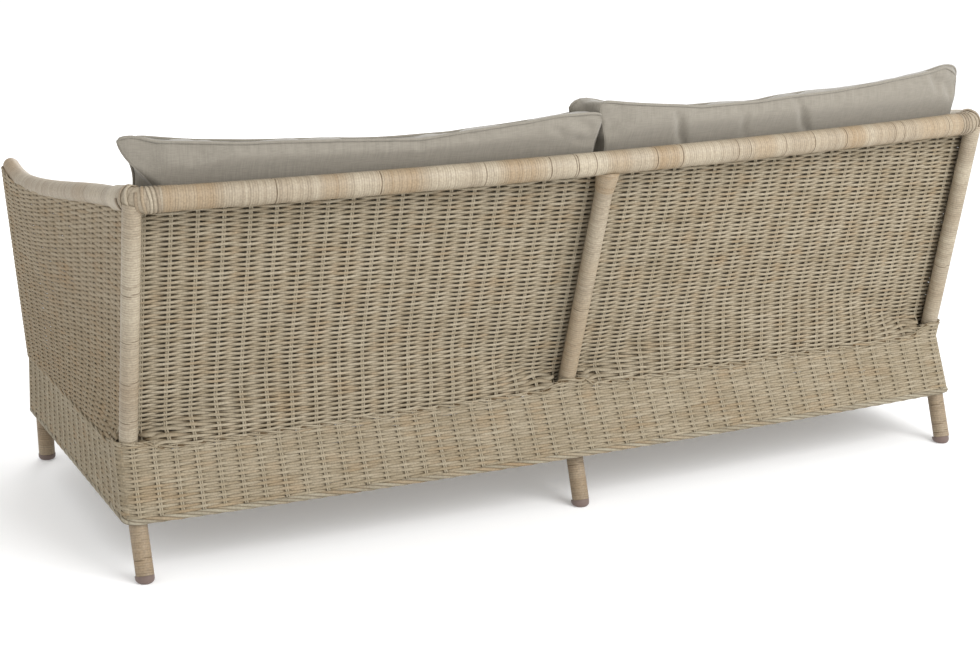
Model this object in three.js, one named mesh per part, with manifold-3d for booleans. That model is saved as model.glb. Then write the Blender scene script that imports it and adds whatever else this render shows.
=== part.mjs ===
// Rattan garden sofa: wrapped pole frame, woven back, arms and apron, and four loose cushions.
// Millimetres. +X runs along the sofa, the front faces -Y, +Z is up, and the feet stand on Z = 0.
// "Left" is the left hand of someone who sits on it, so it is the +X side.
import * as THREE from 'three';
import { mergeVertices } from 'three/addons/utils/BufferGeometryUtils.js';
import Module from 'manifold-3d';

const wasm = await Module();
wasm.setup();

// Driving dimensions: clearances between pieces
const GAP = 0.3;
const SOFT_GAP = 0.8;
const SEAM_GAP = 0.8;
const CUT_OVERRUN = 20;
const MERGE_DISTANCE = 1e-4;

// Driving dimensions: the wrapped poles of the frame
const POLE_RADIUS = 19;
const CORNER_X = 1000;
const KNEE_Z = 250;
const REAR_KNEE_Y = 286;
const REAR_FOOT_Y = 374;
const FRONT_KNEE_SPLAY = 2;
const FRONT_KNEE_Y = -462;
const FRONT_FOOT_Y = -459;
const CAP_HEIGHT = 14;
const CAP_RADIUS = 20;
const CAP_ROUND = 4;
const CENTRE_POST_PROUD = 5;

// Driving dimensions: the rail along the back and the arms
const RAIL_RADIUS = 25;
const RAIL_Z = 796;
const RAIL_CORNER_Y = 410;
const RAIL_BOW = 60;
const RAIL_JOINT_INSET = 70;
const ELBOW_RADIUS = 34;
const HORN_Y = -447;
const ARM_FLARE = 41;
const ARM_DROP = 93;
const HORN_RISE = 14;
const ARM_LOW_SHARE = 0.85;

// Driving dimensions: the bindings over the joints of the poles
const BINDING_WALL = 3;
const RAIL_BINDING_LENGTH = 36;
const POST_BINDING_LENGTH = 30;
const POST_BINDING_Z = 735;

// Driving dimensions: the seat frame and the pins in its poles
const SEAT_RAIL_RADIUS = 15;
const BEARER_RADIUS = 12;
const BEARER_COUNT = 4;
const BEARER_SPACING = 440;
const DECK_THICKNESS = 6;
const DECK_NOTCH = 6;
const DOWEL_RADIUS = 6;
const DOWEL_LENGTH = 44;

// Driving dimensions: the woven panels, the band at the waist and the border under the apron
const WEAVE_THICKNESS = 10;
const WEAVE_VALLEY = 4;
const STAKE_SPACING = 50;
const BAND_RADIUS = 6.5;
const BAND_Z = 259;
const BORDER_Z = 126;
const APRON_TOP_Z = 252;
const APRON_CORNER_RADIUS = 26;
const APRON_REAR_BOW = 25;
const ARM_REAR_OFFSET = 6;
const FLARE_HEIGHT = 46;
const ARM_WRAP_ANGLE = THREE.MathUtils.degToRad(100);

// Driving dimensions: the cushions
const SEAT_CUSHION_EDGE = 118;
const SEAT_CUSHION_CROWN = 22;
const SEAT_CUSHION_PULL = 10;
const SEAT_CUSHION_FRONT_Y = -486;
const SEAT_CUSHION_SIDE_GAP = 3;
const BACK_CUSHION_HEIGHT = 500;
const BACK_CUSHION_EDGE = 66;
const BACK_CUSHION_CROWN = 92;
const BACK_CUSHION_TOP_PULL = 38;
const BACK_CUSHION_SIDE_PULL = 9;
const BACK_CUSHION_JOIN_X = 12;
const BACK_CUSHION_RAIL_GAP = 3;

// Sizes that follow from them
const FRONT_KNEE_X = CORNER_X + FRONT_KNEE_SPLAY;
const RAIL_JOINT_X = CORNER_X - RAIL_JOINT_INSET;
const REAR_LEG_SLOPE = (REAR_FOOT_Y - REAR_KNEE_Y) / KNEE_Z;
const CENTRE_POST_TOP_Y = RAIL_CORNER_Y + RAIL_BOW + CENTRE_POST_PROUD;
const STEEPEST_SLOPE = Math.max(REAR_LEG_SLOPE, (CENTRE_POST_TOP_Y - REAR_KNEE_Y) / (RAIL_Z - KNEE_Z));
const LEAN_STRETCH = Math.hypot(1, STEEPEST_SLOPE);
const POLE_REACH = POLE_RADIUS * LEAN_STRETCH;
const WEAVE_STANDOFF = (POLE_RADIUS + GAP + WEAVE_THICKNESS / 2) * LEAN_STRETCH + GAP;
const WEAVE_FRONT = WEAVE_STANDOFF + LEAN_STRETCH * WEAVE_THICKNESS / 2;
const APRON_STANDOFF = POLE_REACH + GAP + WEAVE_THICKNESS / 2;
const BORDER_STANDOFF = POLE_REACH + 2 * GAP + BAND_RADIUS;
const SEAT_RAIL_REAR_Y = REAR_KNEE_Y - POLE_REACH - GAP - SEAT_RAIL_RADIUS;
const DECK_Z = KNEE_Z + SEAT_RAIL_RADIUS + GAP;
const DECK_TOP = DECK_Z + DECK_THICKNESS;
const SEAT_CUSHION_Z = DECK_TOP + SOFT_GAP;
const BACK_CUSHION_Z = SEAT_CUSHION_Z + SEAT_CUSHION_EDGE + SEAT_CUSHION_CROWN + SOFT_GAP;
const SIDES = ['left', 'right'];
const sign = side => (side === 'left' ? 1 : -1);

// Materials: one for each finish, with the colours of the real sofa
const finish = (color, roughness) => () => new THREE.MeshStandardMaterial({ color, roughness, metalness: 0 });
const wrappedPole = finish(0xc8b795, 0.6);
const woven = finish(0xb3a584, 0.7);
const border = finish(0xa89c80, 0.7);
const bare = finish(0xa98f66, 0.65);
const footPlastic = finish(0x6d5f55, 0.5);
const linen = finish(0x948a7e, 0.95);

const group = new THREE.Group();

function place(name, geometry, material) {
  const mesh = new THREE.Mesh(geometry, material());
  mesh.name = name;
  group.add(mesh);
  return mesh;
}

// A geometry with only positions and shared vertices, ready to join or cut
function bareGeometry(geometry) {
  const plain = geometry.clone();
  plain.deleteAttribute('normal');
  plain.deleteAttribute('uv');
  return mergeVertices(plain, MERGE_DISTANCE);
}

function solidOf(geometry) {
  const plain = bareGeometry(geometry);
  return new wasm.Manifold(new wasm.Mesh({
    numProp: 3,
    vertProperties: new Float32Array(plain.attributes.position.array),
    triVerts: new Uint32Array(plain.index.array),
  }));
}

function geometryOf(solid) {
  const mesh = solid.getMesh();
  const geometry = new THREE.BufferGeometry();
  geometry.setAttribute('position', new THREE.BufferAttribute(new Float32Array(mesh.vertProperties), 3));
  geometry.setIndex(new THREE.BufferAttribute(new Uint32Array(mesh.triVerts), 1));
  geometry.computeVertexNormals();
  return geometry;
}

function cut(geometry, cutters) {
  let solid = solidOf(geometry);
  for (const cutter of cutters) {
    solid = solid.subtract(solidOf(cutter));
  }
  return geometryOf(solid);
}

function join(first, second) {
  return geometryOf(solidOf(first).add(solidOf(second)));
}

// An ellipse or circle as a polygon with a fixed number of sides
function ellipseShape(radiusX, radiusY, turn, sides) {
  const points = [];
  for (let i = 0; i < sides; i += 1) {
    const angle = (2 * Math.PI * i) / sides;
    const x = radiusX * Math.cos(angle);
    const y = radiusY * Math.sin(angle);
    points.push(new THREE.Vector2(
      x * Math.cos(turn) - y * Math.sin(turn),
      x * Math.sin(turn) + y * Math.cos(turn),
    ));
  }
  return new THREE.Shape(points);
}

// A round pole along a curve, with flat square ends
function bentPole(curve, radius, sides, steps) {
  return new THREE.ExtrudeGeometry(ellipseShape(radius, radius, 0, sides), {
    steps,
    bevelEnabled: false,
    extrudePath: curve,
  });
}

function straightPole(from, to, radius, sides) {
  return bentPole(new THREE.LineCurve3(from, to), radius, sides, 1);
}

// A leaning round pole whose two ends are level, so that it stands flat and meets another face to face
function leaningPole(bottom, top, radius, sides) {
  const rise = top.z - bottom.z;
  const leanX = (top.x - bottom.x) / rise;
  const leanY = (top.y - bottom.y) / rise;
  const stretch = Math.hypot(1, leanX, leanY);
  const shape = ellipseShape(radius * stretch, radius, Math.atan2(leanY, leanX), sides);
  const geometry = new THREE.ExtrudeGeometry(shape, { depth: rise, bevelEnabled: false });
  const shear = new THREE.Matrix4().set(
    1, 0, leanX, bottom.x,
    0, 1, leanY, bottom.y,
    0, 0, 1, bottom.z,
    0, 0, 0, 1,
  );
  geometry.applyMatrix4(shear);
  return geometry;
}

// A closed body from two matching grids of points, the outer and the inner face of a sheet
function slab(outer, inner) {
  const rows = outer.length;
  const columns = outer[0].length;
  const positions = [];
  for (const face of [outer, inner]) {
    for (const row of face) {
      for (const point of row) {
        positions.push(point.x, point.y, point.z);
      }
    }
  }
  const at = (layer, row, column) => (layer * rows + row) * columns + column;
  const index = [];
  const quad = (a, b, c, d) => index.push(a, b, c, a, c, d);
  for (let i = 0; i < rows - 1; i += 1) {
    for (let j = 0; j < columns - 1; j += 1) {
      quad(at(0, i, j), at(0, i, j + 1), at(0, i + 1, j + 1), at(0, i + 1, j));
      quad(at(1, i, j), at(1, i + 1, j), at(1, i + 1, j + 1), at(1, i, j + 1));
    }
    quad(at(0, i, 0), at(0, i + 1, 0), at(1, i + 1, 0), at(1, i, 0));
    quad(at(0, i + 1, columns - 1), at(0, i, columns - 1), at(1, i, columns - 1), at(1, i + 1, columns - 1));
  }
  for (let j = 0; j < columns - 1; j += 1) {
    quad(at(0, 0, j + 1), at(0, 0, j), at(1, 0, j), at(1, 0, j + 1));
    quad(at(0, rows - 1, j), at(0, rows - 1, j + 1), at(1, rows - 1, j + 1), at(1, rows - 1, j));
  }
  const geometry = new THREE.BufferGeometry();
  geometry.setAttribute('position', new THREE.BufferAttribute(new Float32Array(positions), 3));
  geometry.setIndex(index);
  return turnedOut(geometry);
}

// The same body with its faces pointing out
function turnedOut(geometry) {
  const position = geometry.attributes.position;
  const index = geometry.index.array;
  const a = new THREE.Vector3();
  const b = new THREE.Vector3();
  const c = new THREE.Vector3();
  let volume = 0;
  for (let i = 0; i < index.length; i += 3) {
    a.fromBufferAttribute(position, index[i]);
    b.fromBufferAttribute(position, index[i + 1]);
    c.fromBufferAttribute(position, index[i + 2]);
    volume += a.dot(b.cross(c));
  }
  if (volume < 0) {
    for (let i = 0; i < index.length; i += 3) {
      [index[i + 1], index[i + 2]] = [index[i + 2], index[i + 1]];
    }
  }
  geometry.computeVertexNormals();
  return geometry;
}

// A woven panel: a middle surface of two shares, thickened equally to both sides
// thickness: how thick the panel is at each of its columns
function wovenPanel(middle, columns, rows, thickness) {
  const step = 1e-3;
  const outer = [];
  const inner = [];
  for (let i = 0; i <= rows; i += 1) {
    const outerRow = [];
    const innerRow = [];
    for (let j = 0; j <= columns; j += 1) {
      const s = j / columns;
      const t = i / rows;
      const along = middle(Math.min(s + step, 1), t).sub(middle(Math.max(s - step, 0), t));
      const up = middle(s, Math.min(t + step, 1)).sub(middle(s, Math.max(t - step, 0)));
      const normal = along.cross(up).normalize().multiplyScalar(thickness(j) / 2);
      outerRow.push(middle(s, t).add(normal));
      innerRow.push(middle(s, t).sub(normal));
    }
    outer.push(outerRow);
    inner.push(innerRow);
  }
  return slab(outer, inner);
}

// Where the poles and rails run

const smooth = share => share * share * (3 - 2 * share);

const backRailY = x => RAIL_CORNER_Y + RAIL_BOW * (1 - (x / CORNER_X) ** 2);

// The plane of the rear poles, ruled from the straight seat frame to the bowed rail
const rearPoleY = (x, z) => REAR_KNEE_Y
  + (backRailY(x) - REAR_KNEE_Y) * ((z - KNEE_Z) / (RAIL_Z - KNEE_Z));

const armShare = y => THREE.MathUtils.clamp((RAIL_CORNER_Y - y) / (RAIL_CORNER_Y - HORN_Y), 0, 1);
const armRailX = y => CORNER_X + ARM_FLARE * smooth(armShare(y));

function armRailZ(y) {
  const fall = Math.min(armShare(y) / ARM_LOW_SHARE, 1);
  const lift = Math.max(armShare(y) - ARM_LOW_SHARE, 0) / (1 - ARM_LOW_SHARE);
  return RAIL_Z - ARM_DROP * (fall + smooth(fall)) / 2 + HORN_RISE * lift ** 2;
}

const HORN_X = armRailX(HORN_Y);
const HORN_Z = armRailZ(HORN_Y);
const FRONT_TOP_X = HORN_X - BINDING_WALL;

// The axis of the front pole at a height: the leg below the knee, the post above it
function frontPole(z) {
  const up = (z - KNEE_Z) / (HORN_Z - KNEE_Z);
  if (up < 0) {
    const down = (KNEE_Z - z) / KNEE_Z;
    return new THREE.Vector2(FRONT_KNEE_X, FRONT_KNEE_Y + (FRONT_FOOT_Y - FRONT_KNEE_Y) * down);
  }
  return new THREE.Vector2(
    FRONT_KNEE_X + (FRONT_TOP_X - FRONT_KNEE_X) * up,
    FRONT_KNEE_Y + (HORN_Y - FRONT_KNEE_Y) * up,
  );
}

const rearLegY = z => REAR_KNEE_Y + (KNEE_Z - z) * REAR_LEG_SLOPE;

// The rail along the back
const backRailPoints = [];
const BACK_RAIL_SPANS = 8;
for (let i = 0; i <= BACK_RAIL_SPANS; i += 1) {
  const x = (RAIL_JOINT_X + CUT_OVERRUN) * ((2 * i) / BACK_RAIL_SPANS - 1);
  backRailPoints.push(new THREE.Vector3(x, backRailY(x), RAIL_Z));
}
const backRailCurve = new THREE.CatmullRomCurve3(backRailPoints);
const RAIL_FACETS = 12;
const RAIL_STEPS = 20;

// A block that takes away the rail beyond its joint, on the elbow's side or on the middle's side
function railTrim(side, towards) {
  const block = new THREE.BoxGeometry(6 * CUT_OVERRUN, 6 * CUT_OVERRUN, 6 * CUT_OVERRUN);
  const x = RAIL_JOINT_X + towards * (3 * CUT_OVERRUN - GAP / 2);
  block.translate(x * sign(side), backRailY(RAIL_JOINT_X), RAIL_Z);
  return block;
}

const fullBackRail = bentPole(backRailCurve, RAIL_RADIUS, RAIL_FACETS, RAIL_STEPS);
place('back_rail', cut(fullBackRail, SIDES.map(side => railTrim(side, 1))), wrappedPole);

// The rail over each arm: a stub of the back, the elbow, the sloping arm and the rounded horn
function armRailCurve(side) {
  const points = [];
  const stubEnd = CORNER_X - ELBOW_RADIUS;
  const start = RAIL_JOINT_X - CUT_OVERRUN;
  points.push(new THREE.Vector3(start, backRailY(start), RAIL_Z));
  const bends = 4;
  for (let i = 0; i <= bends; i += 1) {
    const angle = (Math.PI / 2) * (i / bends);
    points.push(new THREE.Vector3(
      stubEnd + ELBOW_RADIUS * Math.sin(angle),
      backRailY(stubEnd) - ELBOW_RADIUS * (1 - Math.cos(angle)),
      RAIL_Z,
    ));
  }
  const elbowEnd = backRailY(stubEnd) - ELBOW_RADIUS;
  const spans = 9;
  for (let i = 1; i <= spans; i += 1) {
    const y = elbowEnd + (HORN_Y - elbowEnd) * (i / spans);
    points.push(new THREE.Vector3(armRailX(y), y, armRailZ(y)));
  }
  return new THREE.CatmullRomCurve3(points.map(p => new THREE.Vector3(p.x * sign(side), p.y, p.z)));
}

const ARM_STEPS = 32;

function armRail(side, radius) {
  const dome = new THREE.SphereGeometry(radius, RAIL_FACETS, RAIL_FACETS / 2);
  dome.translate(HORN_X * sign(side), HORN_Y, HORN_Z);
  return join(bentPole(armRailCurve(side), radius, RAIL_FACETS, ARM_STEPS), dome);
}

for (const side of SIDES) {
  const rail = cut(armRail(side, RAIL_RADIUS), [railTrim(side, -1)]);
  place(`arm_rail_${side}`, rail, wrappedPole);
}

// The pins that join post to leg and leg to rail
const POLE_FACETS = 14;
const PIN_FACETS = 10;
const CENTRE_PIN_Z = KNEE_Z + SEAT_RAIL_RADIUS / 2 - DOWEL_LENGTH / 2;
const pinPlaces = {
  rear_left: new THREE.Vector3(CORNER_X, REAR_KNEE_Y, KNEE_Z),
  rear_centre: new THREE.Vector3(0, REAR_KNEE_Y, KNEE_Z),
  rear_right: new THREE.Vector3(-CORNER_X, REAR_KNEE_Y, KNEE_Z),
  front_left: new THREE.Vector3(FRONT_KNEE_X, FRONT_KNEE_Y, KNEE_Z),
  front_centre: new THREE.Vector3(0, FRONT_KNEE_Y, CENTRE_PIN_Z),
  front_right: new THREE.Vector3(-FRONT_KNEE_X, FRONT_KNEE_Y, KNEE_Z),
};

function pin(centre, clearance) {
  const half = new THREE.Vector3(0, 0, DOWEL_LENGTH / 2 + clearance);
  return straightPole(centre.clone().sub(half), centre.clone().add(half), DOWEL_RADIUS + clearance, PIN_FACETS);
}

for (const [name, centre] of Object.entries(pinPlaces)) {
  place(`pin_${name}`, pin(centre, 0), bare);
}
const pinHoles = Object.values(pinPlaces).map(centre => pin(centre, GAP));

// Posts above the seat frame
function postUpTo(bottomXY, top, cutters) {
  const bottom = new THREE.Vector3(bottomXY.x, bottomXY.y, KNEE_Z + GAP / 2);
  return cut(leaningPole(bottom, top, POLE_RADIUS, POLE_FACETS), [...cutters, ...pinHoles]);
}

const centreTop = new THREE.Vector3(0, CENTRE_POST_TOP_Y, RAIL_Z);
const fatBackRail = bentPole(backRailCurve, RAIL_RADIUS + GAP, RAIL_FACETS, RAIL_STEPS);
const centreBottom = new THREE.Vector2(0, REAR_KNEE_Y);
place('rear_post_centre', largestPiece(postUpTo(centreBottom, centreTop, [fatBackRail])), wrappedPole);

for (const side of SIDES) {
  const fatArmRail = armRail(side, RAIL_RADIUS + GAP);
  const rearTop = new THREE.Vector3(CORNER_X * sign(side), RAIL_CORNER_Y, RAIL_Z);
  const rearBottom = new THREE.Vector2(CORNER_X * sign(side), REAR_KNEE_Y);
  place(`rear_post_${side}`, largestPiece(postUpTo(rearBottom, rearTop, [fatArmRail])), wrappedPole);
  const frontTop = new THREE.Vector3(FRONT_TOP_X * sign(side), HORN_Y, HORN_Z);
  const frontBottom = new THREE.Vector2(FRONT_KNEE_X * sign(side), FRONT_KNEE_Y);
  place(`front_post_${side}`, largestPiece(postUpTo(frontBottom, frontTop, [fatArmRail])), wrappedPole);
}

// Only the largest part of a body that a cut has left in pieces
function largestPiece(geometry) {
  const parts = solidOf(geometry).decompose();
  parts.sort((a, b) => b.volume() - a.volume());
  return geometryOf(parts[0]);
}

// Legs below the seat frame, with their caps
function legTo(name, foot, knee, cutters) {
  const bottom = new THREE.Vector3(
    foot.x + (knee.x - foot.x) * (CAP_HEIGHT / KNEE_Z),
    foot.y + (knee.y - foot.y) * (CAP_HEIGHT / KNEE_Z),
    CAP_HEIGHT + GAP,
  );
  const top = new THREE.Vector3(knee.x, knee.y, KNEE_Z - GAP / 2);
  const pole = leaningPole(bottom, top, POLE_RADIUS, POLE_FACETS);
  place(name, largestPiece(cut(pole, [...cutters, ...pinHoles])), wrappedPole);
  const profile = [
    new THREE.Vector2(0, 0),
    new THREE.Vector2(CAP_RADIUS - CAP_ROUND, 0),
    new THREE.Vector2(CAP_RADIUS, CAP_ROUND),
    new THREE.Vector2(CAP_RADIUS, CAP_HEIGHT - CAP_ROUND / 2),
    new THREE.Vector2(CAP_RADIUS - CAP_ROUND / 2, CAP_HEIGHT),
    new THREE.Vector2(0, CAP_HEIGHT),
  ];
  const cap = new THREE.LatheGeometry(profile, POLE_FACETS);
  cap.rotateX(Math.PI / 2);
  cap.translate(bottom.x, bottom.y, 0);
  place(`foot_cap_${name.replace('_leg', '')}`, geometryOf(solidOf(turnedOut(bareGeometry(cap)))), footPlastic);
}

for (const side of SIDES) {
  const x = CORNER_X * sign(side);
  legTo(`rear_leg_${side}`, new THREE.Vector2(x, REAR_FOOT_Y), new THREE.Vector2(x, REAR_KNEE_Y), []);
  const knee = new THREE.Vector2(FRONT_KNEE_X * sign(side), FRONT_KNEE_Y);
  legTo(`front_leg_${side}`, new THREE.Vector2(x, FRONT_FOOT_Y), knee, []);
}
legTo('rear_leg_centre', new THREE.Vector2(0, REAR_FOOT_Y), new THREE.Vector2(0, REAR_KNEE_Y), []);

// The seat frame: four rails and the bearers between them
const RAIL_END_OVERRUN = CUT_OVERRUN + POLE_RADIUS;
const SEAT_FACETS = 12;
const seatRailFront = (radius) => straightPole(
  new THREE.Vector3(-FRONT_KNEE_X, FRONT_KNEE_Y, KNEE_Z),
  new THREE.Vector3(FRONT_KNEE_X, FRONT_KNEE_Y, KNEE_Z),
  radius,
  SEAT_FACETS,
);
const seatRailRear = (radius) => straightPole(
  new THREE.Vector3(-CORNER_X, SEAT_RAIL_REAR_Y, KNEE_Z),
  new THREE.Vector3(CORNER_X, SEAT_RAIL_REAR_Y, KNEE_Z),
  radius,
  SEAT_FACETS,
);
const seatRailSide = (side, radius) => straightPole(
  new THREE.Vector3(FRONT_KNEE_X * sign(side), FRONT_KNEE_Y, KNEE_Z),
  new THREE.Vector3(CORNER_X * sign(side), REAR_KNEE_Y, KNEE_Z),
  radius,
  SEAT_FACETS,
);
const frontCornerPoles = SIDES.map(side => straightPole(
  new THREE.Vector3(FRONT_KNEE_X * sign(side), FRONT_KNEE_Y, KNEE_Z - RAIL_END_OVERRUN),
  new THREE.Vector3(FRONT_KNEE_X * sign(side), FRONT_KNEE_Y, KNEE_Z + RAIL_END_OVERRUN),
  POLE_REACH + 2 * GAP,
  POLE_FACETS,
));
const rearCornerPoles = SIDES.map(side => straightPole(
  new THREE.Vector3(CORNER_X * sign(side), REAR_KNEE_Y, KNEE_Z - RAIL_END_OVERRUN),
  new THREE.Vector3(CORNER_X * sign(side), REAR_KNEE_Y, KNEE_Z + RAIL_END_OVERRUN),
  POLE_REACH + SEAT_RAIL_RADIUS * STEEPEST_SLOPE + GAP,
  POLE_FACETS,
));
const fatSideRails = SIDES.map(side => seatRailSide(side, SEAT_RAIL_RADIUS + GAP));

place(
  'seat_rail_front',
  largestPiece(cut(seatRailFront(SEAT_RAIL_RADIUS), [...frontCornerPoles, pin(pinPlaces.front_centre, GAP)])),
  bare,
);
place('seat_rail_rear', largestPiece(cut(seatRailRear(SEAT_RAIL_RADIUS), fatSideRails)), bare);
for (const side of SIDES) {
  const cutters = [...frontCornerPoles, ...rearCornerPoles, seatRailFront(SEAT_RAIL_RADIUS + GAP)];
  const rail = cut(seatRailSide(side, SEAT_RAIL_RADIUS), cutters);
  place(`seat_rail_${side}`, largestPiece(rail), bare);
}

const BEARER_Z = KNEE_Z + SEAT_RAIL_RADIUS - BEARER_RADIUS;
for (let i = 0; i < BEARER_COUNT; i += 1) {
  const x = (i - (BEARER_COUNT - 1) / 2) * BEARER_SPACING;
  const bearer = straightPole(
    new THREE.Vector3(x, FRONT_KNEE_Y, BEARER_Z),
    new THREE.Vector3(x, SEAT_RAIL_REAR_Y, BEARER_Z),
    BEARER_RADIUS,
    SEAT_FACETS,
  );
  const cutters = [seatRailFront(SEAT_RAIL_RADIUS + GAP), seatRailRear(SEAT_RAIL_RADIUS + GAP)];
  place(`seat_bearer_${i + 1}`, largestPiece(cut(bearer, cutters)), bare);
}

legTo(
  'front_leg_centre',
  new THREE.Vector2(0, FRONT_FOOT_Y),
  new THREE.Vector2(0, FRONT_KNEE_Y),
  [seatRailFront(SEAT_RAIL_RADIUS + GAP)],
);

// The woven deck that carries the seat cushions, notched round the front posts
const DECK_HALF = CORNER_X - DECK_NOTCH;
const DECK_FRONT_HALF = FRONT_KNEE_X - POLE_REACH - DECK_NOTCH;
const DECK_REAR_Y = SEAT_RAIL_REAR_Y + DECK_NOTCH;
const DECK_STEP_Y = FRONT_KNEE_Y + POLE_REACH + DECK_NOTCH;
const DECK_FRONT_Y = FRONT_KNEE_Y - SEAT_RAIL_RADIUS / 2;
const deckShape = new THREE.Shape([
  new THREE.Vector2(-DECK_FRONT_HALF, DECK_FRONT_Y),
  new THREE.Vector2(DECK_FRONT_HALF, DECK_FRONT_Y),
  new THREE.Vector2(DECK_FRONT_HALF, DECK_STEP_Y),
  new THREE.Vector2(DECK_HALF, DECK_STEP_Y),
  new THREE.Vector2(DECK_HALF, DECK_REAR_Y),
  new THREE.Vector2(-DECK_HALF, DECK_REAR_Y),
  new THREE.Vector2(-DECK_HALF, DECK_STEP_Y),
  new THREE.Vector2(-DECK_FRONT_HALF, DECK_STEP_Y),
]);
const deck = new THREE.ExtrudeGeometry(deckShape, { depth: DECK_THICKNESS, bevelEnabled: false });
deck.translate(0, 0, DECK_Z);
place('seat_deck', deck, woven);

// Bindings: a sleeve of cane over each joint of the rail, and one at the head of the centre post
function sleeve(curve, radius, sides) {
  const inner = (radius + GAP) / Math.cos(Math.PI / sides);
  const outer = inner + BINDING_WALL;
  const ring = ellipseShape(outer, outer, 0, sides);
  ring.holes.push(ellipseShape(inner, inner, 0, sides));
  return new THREE.ExtrudeGeometry(ring, { steps: 4, bevelEnabled: false, extrudePath: curve });
}

for (const side of SIDES) {
  const points = [-1, -1 / 3, 1 / 3, 1].map((share) => {
    const x = RAIL_JOINT_X + share * RAIL_BINDING_LENGTH / 2;
    return new THREE.Vector3(x * sign(side), backRailY(x), RAIL_Z);
  });
  const curve = new THREE.CatmullRomCurve3(points);
  place(`rail_binding_${side}`, sleeve(curve, RAIL_RADIUS, RAIL_FACETS), wrappedPole);
}

const centrePostLean = (CENTRE_POST_TOP_Y - REAR_KNEE_Y) / (RAIL_Z - KNEE_Z);
const centrePostAt = z => new THREE.Vector3(0, REAR_KNEE_Y + centrePostLean * (z - KNEE_Z), z);
const headBinding = new THREE.LineCurve3(
  centrePostAt(POST_BINDING_Z),
  centrePostAt(POST_BINDING_Z + POST_BINDING_LENGTH),
);
place('post_binding_centre', sleeve(headBinding, POLE_RADIUS, POLE_FACETS), wrappedPole);

// A woven panel is thick at its stakes, where the strands pass round them, and thin between them
const ribbed = column => (column % 2 === 0 ? WEAVE_VALLEY : WEAVE_THICKNESS);
const even = () => WEAVE_THICKNESS;

// The foot of a woven panel swings out to the band at the waist: 1 at its edge, 0 above the flare
const WEAVE_FOOT_Z = BAND_Z + BAND_RADIUS + 2 * GAP;
const flare = z => 1 - smooth(THREE.MathUtils.clamp((z - WEAVE_FOOT_Z) / FLARE_HEIGHT, 0, 1));
const FLARE_OFFSET = BORDER_STANDOFF - BAND_RADIUS - GAP - WEAVE_THICKNESS / 2;

// Heights of a woven panel's rows: close together in the flare and wide apart above it
function rowHeight(t, rows, flareRows, topZ) {
  const row = t * rows;
  const flareTop = WEAVE_FOOT_Z + FLARE_HEIGHT;
  if (row < flareRows) {
    return WEAVE_FOOT_Z + FLARE_HEIGHT * (row / flareRows);
  }
  return flareTop + (topZ - flareTop) * ((row - flareRows) / (rows - flareRows));
}

// The woven back, ruled from the seat frame to the rail, in front of the posts
const BACK_TOP_Z = RAIL_Z - Math.sqrt(RAIL_RADIUS ** 2 - POLE_RADIUS ** 2) - 2 * GAP;
const BACK_HALF = CORNER_X - GAP;
const BACK_COLUMNS = 2 * Math.round(2 * BACK_HALF / STAKE_SPACING);
const BACK_ROWS = 8;
const FLARE_ROWS = 4;

function backMiddle(s, t) {
  const x = BACK_HALF * (1 - 2 * s);
  const z = rowHeight(t, BACK_ROWS, FLARE_ROWS, BACK_TOP_Z);
  const offset = -WEAVE_STANDOFF + (WEAVE_STANDOFF + FLARE_OFFSET) * flare(z);
  return new THREE.Vector3(x, rearPoleY(x, z) + offset, z);
}
const fatArmRails = SIDES.map(side => armRail(side, RAIL_RADIUS + GAP));
const fatRearPosts = [-1, 0, 1].map(side => leaningPole(
  new THREE.Vector3(CORNER_X * side, REAR_KNEE_Y, KNEE_Z),
  new THREE.Vector3(CORNER_X * side, side === 0 ? CENTRE_POST_TOP_Y : RAIL_CORNER_Y, RAIL_Z),
  POLE_RADIUS + GAP,
  POLE_FACETS,
));
const backPanel = wovenPanel(backMiddle, BACK_COLUMNS, BACK_ROWS, ribbed);
place('back_weave', largestPiece(cut(backPanel, [...fatArmRails, ...fatRearPosts])), woven);

// The woven arms: from the rear post, under the arm rail and round the front post
const ARM_COLUMNS = 2 * Math.round((REAR_KNEE_Y - FRONT_KNEE_Y) / STAKE_SPACING);
const ARM_ROWS = 6;
const ARM_FLARE_ROWS = 2;
const ARM_TURN_COLUMNS = 5;
const ARM_RUN_SHARE = ARM_COLUMNS / (ARM_COLUMNS + ARM_TURN_COLUMNS);
const ARM_TURN_STRETCH = 1 / Math.cos(ARM_WRAP_ANGLE / ARM_TURN_COLUMNS / 2);
const ARM_FRONT_OFFSET = (POLE_RADIUS + 2 * GAP) * ARM_TURN_STRETCH + WEAVE_THICKNESS / 2;

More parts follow.
